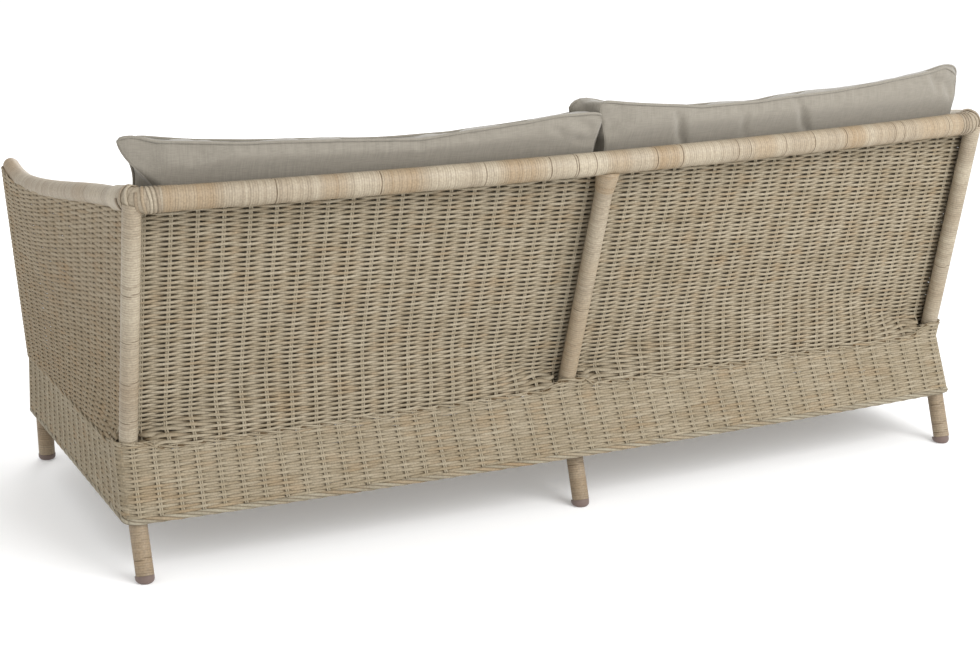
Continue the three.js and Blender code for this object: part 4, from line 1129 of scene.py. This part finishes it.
def rope(name, line, ply, ply_radius, lay_radius, pitch, wide=1.0, tilt=0.0, open_side=0.5):
    """Plies laid round a line: each ply turns once per pitch, set off by its share of a turn. A
    tilt moves a turn's top ahead of its underside. Painted shade darkens a ply towards the rope's
    middle, and open_side is how free of it a ply's side is."""
    out, across, at = frame_of(line, (0, 0, 1))
    start = 2 * np.pi * np.arange(ply)[:, None] / ply
    turn = start + 2 * np.pi * at[None] / pitch
    radial = out[None] * np.cos(turn)[..., None] + across[None] * np.sin(turn)[..., None]
    ahead = tilt * np.cos(turn)[..., None] * normalised(np.gradient(line, axis=0))
    centres = line[None] + lay_radius * radial + ahead
    points, faces, facing = tubes(centres, radial, ply_radius, ROPE_SIDES, wide)
    tone = wander(turn.shape, max(2, int(at[-1] / TONE_LENGTH)), 0.1, 1.0)
    warm = np.clip(wander(turn.shape, max(2, int(at[-1] / TAN_LENGTH)), -2.5, 1.0), 0, 1)
    channels = {
        "tone": np.repeat(tone, ROPE_SIDES),
        "warm": np.repeat(warm, ROPE_SIDES),
        "unshaded": np.clip(open_side + 0.7 * facing, 0, 1).ravel(),
    }
    return add_mesh(name, points.reshape(-1, 3), faces, channels)


def ring_line(side, z_of, step=0.004):
    """A line along one side of the ring, at a height that may change along it."""
    share = np.linspace(0, 1, int(ring_length(side) / step))
    z = z_of(side, share)
    x, y = ring_point(side, share, z)
    return np.stack([x, y, z], axis=1)


for side in RING_SIDES:
    border_line = ring_line(side, lambda side, share: np.full_like(share, BORDER_Z))
    border_line = border_line - BORDER_INSET * frame_of(border_line, (0, 0, 1))[1]
    piece = rope(f"border_braid_{side}", border_line, **BORDER_ROPE)
    dress(piece, BRAID, "border", f"apron_border_{side}")
    waist_line = ring_line(side, rim_of)
    piece = rope(f"waist_twine_{side}", waist_line, open_side=WAIST_OPENNESS[side], **WAIST_ROPE)
    dress(piece, STRAND, "border", f"waist_band_{side}")

# %% [markdown]
# ## Bindings
# Where two poles meet, cane is wound over the joint. Some windings are close and read as a
# sleeve, which is a short wrapped pole with its ends drawn down. At the corners of the rail the
# turns can be told apart, so there they are helices of one flat ply. The binding under the rail
# follows the centre post, which widens into a collar.


# %% Bindings
BINDING_HALF = 0.018
CORNER_STRIPS = (0.948, 0.989)
CORNER_LOOPS = (0.992, 1.018)
CORNER_BAND = (1.022, 1.08)
STRIP_ROPE = {"ply": 1, "ply_radius": 0.0014, "pitch": 0.0083, "wide": 2.5, "tilt": 0.001}
LOOP_ROPE = {"ply": 1, "ply_radius": 0.0021, "pitch": 0.0092, "wide": 1.9, "tilt": 0.006}
CENTRE_BINDING = (0.735, 0.768)
CENTRE_GROWTH = 0.16
SLEEVE_END = 0.003
SLEEVE_DROP = 0.05


def rail_stretch(start, end, sign):
    """The part of the rail between two distances from the middle of the back."""
    points, at = evenly(half, 0.0005)
    return points[(at >= start) & (at <= end)] * np.array([sign, 1, 1])


def snug(at, length):
    """A sleeve whose two ends are drawn down in a quarter circle."""
    edge = np.clip(np.minimum(at, length - at) / SLEEVE_END, 0, 1)
    return 1 - SLEEVE_DROP + SLEEVE_DROP * np.sqrt(edge * (2 - edge))


def sleeve_of(name, line, radius, node, shape=snug, **looks):
    """A short winding over a pole, which stands for a binding's node."""
    piece = wrapped_pole(name, line, radius, (0.2, 0.3, 0.9), RAIL_SIDES, shape=shape, **looks)
    dress(piece, PEEL, "wrapped_pole", node)


for side, sign in SIDES.items():
    joint_line = rail_stretch(RAIL_JOINT_X - BINDING_HALF, RAIL_JOINT_X + BINDING_HALF, sign)
    node = f"rail_binding_{side}"
    sleeve_of(f"rail_binding_wrap_{side}", joint_line, RAIL_RADIUS + 0.0008, node, tan=[(0, 0.1, 0.6)])
    stretch = rail_stretch(*CORNER_STRIPS, sign)
    strips = rope(f"corner_strips_{side}", stretch, lay_radius=RAIL_RADIUS + 0.0006, **STRIP_ROPE)
    dress(strips, PEEL, "wrapped_pole", node)
    stretch = rail_stretch(*CORNER_LOOPS, sign)
    loops = rope(f"corner_loops_{side}", stretch, lay_radius=RAIL_RADIUS + 0.0012, **LOOP_ROPE)
    dress(loops, PEEL, "wrapped_pole", node)
    stretch = rail_stretch(*CORNER_BAND, sign)
    sleeve_of(f"corner_band_{side}", stretch, RAIL_RADIUS + 0.0006, node, strip=0.024, depth=0.0002, pale=1.1)


def coned(at, length):
    """The binding under the rail follows the centre post's cone."""
    return snug(at, length) * (1 + CENTRE_GROWTH * at / length)


lean = (CENTRE_TOP_Y - REAR_KNEE_Y) / (RAIL_Z - KNEE_Z)
z = np.linspace(*CENTRE_BINDING, 5)
line = np.stack([0 * z, REAR_KNEE_Y + lean * (z - KNEE_Z), z], axis=1)
sleeve_of("centre_binding_wrap", line, POLE_RADIUS * 1.1, "post_binding_centre", coned,
          tan=[(0.015, 0.1, 0.8)])


# %% [markdown]
# ## Feet
# Each leg ends in a cap of moulded plastic with a rounded foot. A cap is turned: a profile of
# radii and heights is spun round an axis that leans with its leg, while its foot stays level.


# %% Feet
CAP_RADIUS = 0.02
CAP_FOOT_ROUND = 0.008
CAP_TOP_ROUND = 0.001
CAP_SIDES = 40


def turned(name, centre, profile, lean, node):
    """A turned piece: a profile of radii and heights spun round an axis that leans with its leg."""
    angle = 2 * np.pi * np.arange(CAP_SIDES) / CAP_SIDES
    radius, height = np.asarray(profile, float).T
    points = np.stack(np.broadcast_arrays(
        centre[0] + radius[:, None] * np.cos(angle),
        centre[1] - lean * height[:, None] + radius[:, None] * np.sin(angle),
        centre[2] + height[:, None] * (1 + lean * radius[:, None] * np.sin(angle) / CAP_HEIGHT),
    ), axis=-1)
    index = np.arange(points[..., 0].size).reshape(points.shape[:2])
    faces = [walls(index[:-1], index[1:]), index[:1, ::-1], index[-1:]]
    piece = add_mesh(name, points.reshape(-1, 3), faces, {"tone": 0.5, "warm": 0.0, "unshaded": 1.0})
    dress(piece, FOOT, "foot_plastic", node)


def quarter(radius, height, size, start):
    """A quarter circle of a profile, from an angle on, round a centre."""
    angle = start + np.linspace(0, np.pi / 2, 6)
    return list(zip(radius + size * np.cos(angle), height + size * np.sin(angle)))


foot_profile = quarter(CAP_RADIUS - CAP_FOOT_ROUND, CAP_FOOT_ROUND, CAP_FOOT_ROUND, -np.pi / 2)
foot_profile += quarter(CAP_RADIUS - CAP_TOP_ROUND, CAP_HEIGHT - CAP_TOP_ROUND, CAP_TOP_ROUND, 0.0)
for node in sorted(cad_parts):
    if node.startswith("foot_cap"):
        low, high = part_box(node)
        middle = (low + high) / 2
        slope = LEG_SLOPE if "rear" in node else 0.0
        turned(f"{node}_turned", (middle.x, middle.y, 0), foot_profile, slope, node)

# %% [markdown]
# ## Seat frame
# The plain poles, the pins and the deck under the cushions are bare rattan. The apron hides them
# from all sides but below, so the solids themselves are shown and only get a material.

# %% Seat frame
BARE = rattan("rattan_bare", (0.46, 0.33, 0.18, 1), (0.36, 0.25, 0.13, 1), TAN, PAINTED_SHADE, 0.55)
kept_nodes = [node for node in sorted(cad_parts) if node.startswith(("seat_", "pin_"))]
bare_nodes = [node for node in kept_nodes if "cushion" not in node]
# These solids carry none of the mesh channels, which read as 0, so the bare material paints them wholly in
# its painted shade colour.
for node in bare_nodes:
    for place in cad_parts[node].material_slots:
        place.link = "OBJECT"
        place.material = DECK if node == "seat_deck" else BARE
print("bare solids", bare_nodes)


# %% [markdown]
# ## How a cover is cut
# Each cushion has a boxed cover: two panels and a border between them. A panel is a grid whose
# corners are rounded and whose sides are drawn in between the corners, which leaves the pulled
# ears that real covers have. It swells by the product of one rounded step across and one up. A
# sculpted shape could look as soft, but a sewn pattern puckers at its seams as cloth does.


# %% Cover patterns
CELL = 0.0095
TOP_WAVE = 0.0014
WAVE_PLACES = 200
WAVE_KNOTS = 15


def rounded(x, y, half_x, half_y, corner):
    """Rounds a rectangle's corners: in a corner's square a point keeps its direction, and the
    larger of its two shares becomes its distance."""
    a = np.clip((np.abs(x) - half_x + corner) / corner, 0, None)
    b = np.clip((np.abs(y) - half_y + corner) / corner, 0, None)
    shrink = np.maximum(a, b) / np.maximum(np.hypot(a, b), 1e-9)
    new_x = np.where(a > 0, half_x - corner + corner * a * shrink, np.abs(x))
    new_y = np.where(b > 0, half_y - corner + corner * b * shrink, np.abs(y))
    return np.sign(x) * new_x, np.sign(y) * new_y


def cover_grid(half_x, half_y, corner, pulls, ears=(), top=None):
    """A panel's plan. pulls says how far three parts are drawn in: the side with low x, the side
    with high x, and the top with the bottom. Each of ears moves one corner: the signs of its x
    and y, how far it goes out, and its reach. top gives the height of the top edge, which also
    waves a little."""
    columns = int(2 * half_x / CELL)
    rows = int(2 * half_y / CELL)
    u, v = np.meshgrid(np.linspace(-1, 1, columns + 1), np.linspace(-1, 1, rows + 1))
    x, y = rounded(half_x * u, half_y * v, half_x, half_y, corner)
    low_pull, high_pull, edge_pull = pulls
    x = x - np.where(u > 0, high_pull, low_pull) * (1 - v**6) * u**3
    y = y - edge_pull * (1 - u**4) * v**3
    for sign_u, sign_v, out, reach in ears:
        away = bell(np.hypot(half_x * sign_u - x, half_y * sign_v - y), reach)
        x = x + sign_u * out * away
    if top is not None:
        waves = wander((1, WAVE_PLACES), WAVE_KNOTS, -TOP_WAVE, TOP_WAVE)[0]
        rise = top(x) - half_y + np.interp(x, np.linspace(-half_x, half_x, WAVE_PLACES), waves)
        y = y + rise * np.clip(v, 0, 1) ** 3
    swell = (1 - np.abs(u) ** 3) ** 0.75 * (1 - np.abs(v) ** 3) ** 0.75
    return x, y, swell


print("cells of cloth are", CELL, "m wide")

# %% [markdown]
# ## How a cover is sewn
# The two panels are set opposite each other and rows of border cells join their rims. A seam is
# the rim of a panel, kept as a loop of point numbers, so that piping can follow it later.


# %% Sew a cover
SEAM_ROWS = 5
covers = []


def sew_cover(name, body, plans, edge, crowns, to_place):
    """The two panels, their seam loops and the rows of the border between them."""
    sheets = []
    for (x, y, swell), facing, crown in zip(plans, (-1, 1), crowns):
        sheets.append(to_place(x, y, facing * (edge / 2 + crown * swell)))
    panel = np.arange(x.size).reshape(x.shape)
    loop = np.concatenate([panel[0, :-1], panel[:-1, -1], panel[-1, :0:-1], panel[:0:-1, 0]])
    points = [sheet.reshape(-1, 3) for sheet in sheets]
    rings = [loop]
    for k in range(1, SEAM_ROWS):
        share = k / SEAM_ROWS
        points.append(points[0][loop] * (1 - share) + points[1][loop] * share)
        rings.append(2 * x.size + (k - 1) * len(loop) + np.arange(len(loop)))
    rings.append(loop + x.size)
    corners = [panel[:-1, :-1], panel[:-1, 1:], panel[1:, 1:], panel[1:, :-1]]
    front = np.stack(corners, -1).reshape(-1, 4) + x.size
    rear = np.stack(corners[::-1], -1).reshape(-1, 4)
    faces = [rear, front]
    for low, high in zip(rings[:-1], rings[1:]):
        faces.append(walls(low, high))
    cover = add_mesh(name, np.concatenate(points), faces, {"unshaded": 1.0}, body)
    covers.append({"cover": cover, "body": body, "loops": (rings[0], rings[-1]), "panel": x.size})


print("rows of cells in a border", SEAM_ROWS)

# %% [markdown]
# ## Seat covers
# A seat cushion is a thick slab that lies flat on the deck. Its under panel is flat and its upper
# panel is only slightly crowned, so both share one plan.

# %% Seat covers
SEAT_EDGE = 0.125
SEAT_CROWN = 0.008
SEAT_INSET = 0.004
SEAT_LIFT = 0.003
SEAT_CORNER = 0.03
SEAT_PULLS = (0.007, 0.007, 0.007)
for side in SIDES:
    low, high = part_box(f"seat_cushion_{side}")
    middle = (low + high) / 2
    half_size = ((high.x - low.x) / 2 - SEAT_INSET, (high.y - low.y) / 2 - SEAT_INSET)
    plan = cover_grid(*half_size, SEAT_CORNER, SEAT_PULLS)

    def on_deck(x, y, depth):
        """A seat cushion lies flat on the deck, and depth is height."""
        return np.stack([middle.x + x, middle.y + y, low.z + SEAT_LIFT + SEAT_EDGE / 2 + depth], -1)

    crowns = (0.0, SEAT_CROWN)
    sew_cover(f"seat_cover_{side}", f"seat_cushion_{side}", [plan, plan], SEAT_EDGE, crowns, on_deck)
print("seat covers of", [len(item["cover"].data.vertices) for item in covers], "points")

# %% [markdown]
# ## Tops and ears of the back covers
# The tops and the ears of the back cushions are all that the photograph shows of them, so the
# height of each panel's top edge was read there, at places along x. A formula alone would be too
# even: hands have pressed these cushions down in some places and plumped them in others.

# %% Tops and ears of the back covers
REAR_PULLS = {"left": (0.008, 0.026, 0.0), "right": (0.018, 0.014, 0.0)}
REAR_EARS = {
    "left": [(1, 1, 0.059, 0.078), (1, 1, -0.014, 0.022), (-1, 1, 0.004, 0.05)],
    "right": [(-1, 1, -0.004, 0.16), (-1, 1, -0.016, 0.035), (1, 1, 0.02, 0.06)],
}
FRONT_EARS = {
    "left": [(1, 1, 0.016, 0.06)],
    "right": [(-1, 1, 0.034, 0.06), (1, 1, 0.053, 0.046)],
}
REAR_TOPS = {
    "left": [(0.016, 0.903), (0.046, 0.907), (0.106, 0.907), (0.18, 0.898), (0.253, 0.893),
             (0.335, 0.886), (0.419, 0.878), (0.545, 0.885), (0.667, 0.892), (0.786, 0.894),
             (0.911, 0.906), (0.955, 0.908), (0.978, 0.921), (0.992, 0.925), (1.01, 0.92)],
    "right": [(-0.95, 0.908), (-0.925, 0.924), (-0.9, 0.937), (-0.856, 0.927), (-0.735, 0.917),
              (-0.58, 0.905), (-0.485, 0.905), (-0.37, 0.9), (-0.22, 0.9), (-0.09, 0.916),
              (0.018, 0.931)],
}
FRONT_TOPS = {
    "left": [(0.057, 0.898), (0.13, 0.888), (0.216, 0.882), (0.326, 0.875), (0.4, 0.873),
             (0.476, 0.874), (0.56, 0.878), (0.642, 0.882), (0.744, 0.887), (0.853, 0.895),
             (0.954, 0.909), (0.988, 0.914)],
    "right": [(-0.999, 0.922), (-0.954, 0.928), (-0.9, 0.9155), (-0.79, 0.903), (-0.632, 0.897),
              (-0.55, 0.898), (-0.47, 0.894), (-0.415, 0.888), (-0.264, 0.8905), (-0.19, 0.891),
              (-0.131, 0.8955), (-0.06, 0.904), (-0.002, 0.92), (0.03, 0.93), (0.058, 0.922)],
}
for side in SIDES:
    print(side, "tops read at", len(REAR_TOPS[side]), "places behind and", len(FRONT_TOPS[side]), "in front")

# %% [markdown]
# ## Back covers
# A back cushion leans on the woven back, so its depth is measured from the plane of the posts.
# Behind the seat cushion the underside of a soft cushion hangs a little lower, which closes the
# slit between the two.

# %% Back covers
BACK_EDGE = 0.066
BACK_INSET = 0.003
BACK_SHIFT = 0.0015
BACK_CROWN = 0.082
REAR_CORNER = 0.013
FRONT_CORNER = 0.022
REAR_OFFSET = BACK_STANDOFF + 0.008
SAG_START = 0.261
SAG_REACH = 0.008
SAG_HEIGHT = 0.03
BOTTOM_SAG = 0.022
TOP_PIPING = 0.004


def sag(y, height):
    """How far a back cushion's underside hangs down behind the seat cushion, by the depth and by
    the height above its lowest edge: two smooth steps."""
    return BOTTOM_SAG * ramp(y - SAG_START, SAG_REACH) * ramp(SAG_HEIGHT - height, SAG_HEIGHT)


for side, sign in SIDES.items():
    low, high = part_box(f"back_cushion_{side}")
    middle = (low + high) / 2 - Vector((sign * BACK_SHIFT, 0, 0))
    half_size = ((high.x - low.x) / 2 - BACK_INSET, (high.z - low.z) / 2 - BACK_INSET)

    def top_of(line):
        """The height of a panel's top edge by places read along it."""
        places = np.array(sorted(line))
        return lambda x: np.interp(middle.x + x, places[:, 0], places[:, 1]) - middle.z - TOP_PIPING

    rear_top = top_of(REAR_TOPS[side])
    front_top = top_of(FRONT_TOPS[side])
    plans = [
        cover_grid(*half_size, REAR_CORNER, REAR_PULLS[side], REAR_EARS[side], rear_top),
        cover_grid(*half_size, FRONT_CORNER, (0.0, 0.0, 0.0), FRONT_EARS[side], front_top),
    ]

    def on_back(x, y, depth):
        """A back cushion leans on the woven back, and depth points to the front."""
        rear = rear_pole_y(middle.x + x, middle.z + y) - REAR_OFFSET
        place = rear - BACK_EDGE / 2 - depth
        return np.stack([middle.x + x, place, middle.z + y - sag(place, middle.z + y - low.z)], -1)

    crowns = (0.0, BACK_CROWN)
    sew_cover(f"back_cover_{side}", f"back_cushion_{side}", plans, BACK_EDGE, crowns, on_back)
print("covers", [item["cover"].name for item in covers])

# %% [markdown]
# ## Blow the covers up
# A real cover is cut a little larger than its filling, and the filling presses it out. Wrinkles
# could be carved by hand, but a cloth simulation finds them: pressure pushes each cover out while
# its panels grow by a few hundredths against their seams, so the fabric puckers by itself.

# %% Cloth settings
PRESSURE = 5.0
PANEL_GROWTH = 0.035
FRAMES = 22
CLOTH = {
    "quality": 6, "mass": 0.25, "tension_stiffness": 20, "compression_stiffness": 20,
    "shear_stiffness": 8, "bending_stiffness": 0.6, "use_pressure": True,
    "uniform_pressure_force": PRESSURE, "vertex_group_shrink": "seam",
    "shrink_min": -PANEL_GROWTH, "shrink_max": 0.0, "vertex_group_mass": "seam", "pin_stiffness": 1.0,
}


def start_cloth(item):
    """A cloth modifier with pressure and no gravity, whose panels grow and whose seams don't."""
    cover = item["cover"]
    seam = cover.vertex_groups.new(name="seam")
    seam.add([int(i) for loop in item["loops"] for i in loop], 1.0, "REPLACE")
    cloth = cover.modifiers.new("cloth", "CLOTH")
    for setting, value in CLOTH.items():
        setattr(cloth.settings, setting, value)
    cloth.settings.effector_weights.gravity = 0
    cloth.collision_settings.use_collision = False
    cloth.point_cache.frame_start = 1
    cloth.point_cache.frame_end = FRAMES + 1


print("pressure", PRESSURE, "over", FRAMES, "frames")

# %% [markdown]
# ## Let the covers settle
# After the simulation no point may have moved further than a cap, and the flat sides stay on what
# carries them: the deck, the woven back and the cushion next to it. That keeps every cushion in
# its own place, which collisions in the simulation would do too, but far more slowly.


# %% Simulate and settle
MOVE_CAP = 0.022
BORDER_CAP = 0.005
LOWEST = 0.001
ABOVE_RAIL_Z = 0.83
ABOVE_REACH = 0.04
REST_GAP = 0.0015
TOP_GAP = 0.01
FRONT_GAP = 0.004
FREE_TOP = 0.03


def read_points(mesh):
    """A mesh's points as an array."""
    values = np.empty(len(mesh.vertices) * 3, np.float32)
    mesh.vertices.foreach_get("co", values)
    return values.reshape(-1, 3)


def write_points(mesh, points):
    """Moves a mesh's points."""
    mesh.vertices.foreach_set("co", points.astype(np.float32).ravel())
    mesh.update()


def settle(item, depsgraph):
    """The simulated points, capped and kept off what carries the cushion."""
    cover = item["cover"]
    start = read_points(cover.data).astype(float)
    move = read_points(cover.evaluated_get(depsgraph).data) - start
    size = np.linalg.norm(move, axis=1, keepdims=True)
    cap = np.where(np.arange(len(start)) < 2 * item["panel"], MOVE_CAP, BORDER_CAP)[:, None]
    move = move * np.minimum(1, cap / np.maximum(size, 1e-9))
    points = start + move
    low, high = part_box(item["body"])
    hanging = sag(points[:, 1], 0.0) if item["body"].startswith("back") else 0.0
    points[:, 2] = np.maximum(points[:, 2], low.z + LOWEST - hanging)
    if item["body"].startswith("back"):
        above = ramp(points[:, 2] - ABOVE_RAIL_Z, ABOVE_REACH)
        rear = rear_pole_y(points[:, 0], points[:, 2]) - REAR_OFFSET + REST_GAP + TOP_GAP * above
        points[:, 1] = np.minimum(points[:, 1], rear)
    else:
        points[:, 2] = np.minimum(points[:, 2], high.z)
        points[:, 1] = np.clip(points[:, 1], low.y - FRONT_GAP, high.y)
    inner = low.x if item["body"].endswith("left") else high.x
    side = 1 if item["body"].endswith("left") else -1
    free = points[:, 2] > high.z - FREE_TOP
    points[:, 0] = np.where(free, points[:, 0], side * np.maximum(side * points[:, 0], side * inner))
    write_points(cover.data, points)
    cover.modifiers.remove(cover.modifiers["cloth"])
    return float(size.max())


for item in covers:
    start_cloth(item)
for frame_number in range(1, FRAMES + 1):
    bpy.context.scene.frame_set(frame_number)
depsgraph = bpy.context.evaluated_depsgraph_get()
print("largest moves", [round(settle(item, depsgraph), 4) for item in covers])
bpy.context.scene.frame_set(1)

# %% [markdown]
# ## Folds
# The rear panels show a few soft folds that start at the seam, where a hand has pushed the
# cushion down. The simulation can't know them, so each is pressed in afterwards as a valley along
# a line that was read from the photograph.

# %% Folds
FOLD_REACH = 0.0075
FOLD_START = {"before": 0.015, "reach": 0.02}
FOLD_END = {"after": 0.025, "reach": 0.04}
FOLDS = {
    "left": [((0.985, 0.845), (0.94, 0.805), 0.008), ((0.074, 0.853), (0.034, 0.841), 0.006)],
    "right": [((-0.166, 0.885), (-0.198, 0.812), 0.011), ((-0.477, 0.89), (-0.525, 0.812), 0.01),
              ((-0.862, 0.913), (-0.884, 0.885), 0.01), ((-0.336, 0.875), (-0.35, 0.826), 0.005)],
}


def press_folds(cover, panel, folds):
    """Folds in a rear panel: valleys along lines, a bell across and tapering to both ends."""
    points = read_points(cover.data).astype(float)
    for (start_x, start_z), (end_x, end_z), deep in folds:
        run = np.array([end_x - start_x, end_z - start_z])
        length = np.hypot(*run)
        away = points[:panel, ::2] - (start_x, start_z)
        along = away @ run / length
        across = away @ np.array([-run[1], run[0]]) / length
        start = (along + FOLD_START["before"]) / FOLD_START["reach"]
        end = (length + FOLD_END["after"] - along) / FOLD_END["reach"]
        points[:panel, 1] -= deep * bell(across, FOLD_REACH) * ramp(np.minimum(start, end), 1)
    write_points(cover.data, points)


for item in covers:
    if item["body"].startswith("back"):
        press_folds(item["cover"], item["panel"], FOLDS[item["body"].split("_")[-1]])
print("folds", {side: len(folds) for side, folds in FOLDS.items()})

# %% [markdown]
# ## Piping and linen
# The seams carry piping, a thin cord in the same linen: a closed tube along the seam, thinner
# down the sides of a rear panel, where it sinks into the cover. A subdivision then rounds the
# cover, and its seams are creased, so that they stay as sharp as sewn ones.


# %% Piping and linen
PIPING_RADIUS = 0.003
PIPING_SIDES = 8
PIPING_OUT = 0.35
LEVEL_START = 0.6
LEVEL_REACH = 0.35
REAR_SIDE_SHARE = 0.25


def crease_seams(cover, loops):
    """Keeps the seams sharp when the cover is subdivided, by an edge attribute that is 1 where both
    ends of an edge are on the same seam."""
    ends = np.empty(len(cover.data.edges) * 2, np.int32)
    cover.data.edges.foreach_get("vertices", ends)
    on_seam = np.zeros(len(cover.data.vertices), int)
    for number, loop in enumerate(loops):
        on_seam[loop] = number + 1
    first, second = on_seam[ends.reshape(-1, 2)].T
    layer = cover.data.attributes.new("crease_edge", "FLOAT", "EDGE")
    layer.data.foreach_set("value", ((first == second) & (first > 0)).astype(np.float32))


def piping(name, cover, loop, body, side_share=1.0):
    """A closed tube along a seam. Its line is the seam's points, smoothed twice and set off
    outwards by part of the tube's radius, which may be smaller down the sides."""
    line = read_points(cover.data).astype(float)[loop]
    for _ in range(2):
        line = (np.roll(line, 1, 0) + 2 * line + np.roll(line, -1, 0)) / 4
    tangent = normalised(np.roll(line, -1, 0) - np.roll(line, 1, 0))
    outward = line - line.mean(axis=0)
    outward = normalised(outward - (outward * tangent).sum(axis=1, keepdims=True) * tangent)
    across = np.cross(tangent, outward)
    angle = 2 * np.pi * np.arange(PIPING_SIDES) / PIPING_SIDES
    ring = outward[:, None] * np.cos(angle)[:, None] + across[:, None] * np.sin(angle)[:, None]
    level = ramp(np.abs(tangent[:, 0, None]) - LEVEL_START, LEVEL_REACH)
    radius = PIPING_RADIUS * (side_share + (1 - side_share) * level)
    points = (line + PIPING_OUT * radius * outward)[:, None] + radius[:, None] * ring
    index = np.arange(len(line) * PIPING_SIDES).reshape(len(line), PIPING_SIDES)
    faces = [walls(index, np.roll(index, -1, 0))]
    tube = add_mesh(name, points.reshape(-1, 3), faces, {"unshaded": 1.0}, body)
    tube.data.materials.append(LINEN)


for item in covers:
    cover = item["cover"]
    crease_seams(cover, item["loops"])
    for number, loop in enumerate(item["loops"]):
        side_share = REAR_SIDE_SHARE if number == 0 and item["body"].startswith("back") else 1.0
        piping(f"{cover.name}_piping_{number + 1}", cover, loop, item["body"], side_share)
    rounder = cover.modifiers.new("rounder", "SUBSURF")
    rounder.levels = 1
    rounder.render_levels = 1
    dress(cover, LINEN, "linen", item["body"])
print("cushions", [item["body"] for item in covers])

# %% [markdown]
# ## Camera
# The camera stands where the photograph's did: behind the sofa on the sitter's left and a little
# above it. Its place and its lens came from fitting the frame's corners to the photograph.

# %% Camera
scene = bpy.context.scene
AZIMUTH = math.radians(154.3)
ELEVATION = math.radians(15.8)
CAMERA_PLACE = (1.985, 4.0258, 1.5903)
FOCAL_PIXELS = 1981.0
IMAGE_WIDTH = 980.0
SENSOR = 36.0
camera_data = bpy.data.cameras.new("camera")
camera_data.sensor_width = SENSOR
camera_data.lens = FOCAL_PIXELS / IMAGE_WIDTH * SENSOR
camera = bpy.data.objects.new("camera", camera_data)
towards = Vector((
    math.sin(AZIMUTH) * math.cos(ELEVATION),
    -math.cos(AZIMUTH) * math.cos(ELEVATION),
    math.sin(ELEVATION),
))
camera.location = CAMERA_PLACE
camera.rotation_mode = "QUATERNION"
camera.rotation_quaternion = (-towards).to_track_quat("-Z", "Y")
scene.collection.objects.link(camera)
scene.camera = camera
print("lens", round(camera_data.lens, 2))

# %% [markdown]
# ## Light and floor
# The photograph was taken in a white studio. A large soft light from behind and a weaker one
# from the front are enough over a white world, and a pale floor that glows a little takes the
# soft shadows without turning grey.


# %% Light and floor
LIGHT_TARGET = (0, 0, 0.4)
FLOOR_REACH = 60.0
FLOOR_GLOW = 0.22


def soft_light(name, place, size, power):
    """A square white area light that looks at the sofa."""
    data = bpy.data.lights.new(name, "AREA")
    data.shape = "SQUARE"
    data.size = size
    data.energy = power
    light = bpy.data.objects.new(name, data)
    light.location = place
    light.rotation_mode = "QUATERNION"
    light.rotation_quaternion = (Vector(LIGHT_TARGET) - Vector(place)).to_track_quat("-Z", "Y")
    scene.collection.objects.link(light)


soft_light("key", (-1.7, 4.1, 3.4), 3.4, 225)
soft_light("front", (-1.5, -4.2, 2.8), 2.6, 90)

world = bpy.data.worlds.new("studio")
world.use_nodes = True
background = world.node_tree.nodes["Background"]
background.inputs["Color"].default_value = (1, 1, 1, 1)
background.inputs["Strength"].default_value = 1.0
scene.world = world

floor_mesh = bpy.data.meshes.new("floor")
floor_corners = [(x * FLOOR_REACH, y * FLOOR_REACH, 0) for x, y in ((-1, -1), (1, -1), (1, 1), (-1, 1))]
floor_mesh.from_pydata(floor_corners, [], [(0, 1, 2, 3)])
floor = bpy.data.objects.new("floor", floor_mesh)
scene.collection.objects.link(floor)
floor_material, floor_nodes, floor_links = new_material("floor_paint")
paint(floor_nodes, floor_links, {
    "Base Color": (0.8, 0.8, 0.8, 1),
    "Emission Color": (1, 1, 1, 1),
    "Emission Strength": FLOOR_GLOW,
    "Roughness": 0.9,
})
floor_mesh.materials.append(floor_material)
floor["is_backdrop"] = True
scene.view_settings.view_transform = "Standard"

# %% Finish
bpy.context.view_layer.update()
triangles = 0
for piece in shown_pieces():
    piece.data.calc_loop_triangles()
    triangles += len(piece.data.loop_triangles)
print("triangles before modifiers", triangles)
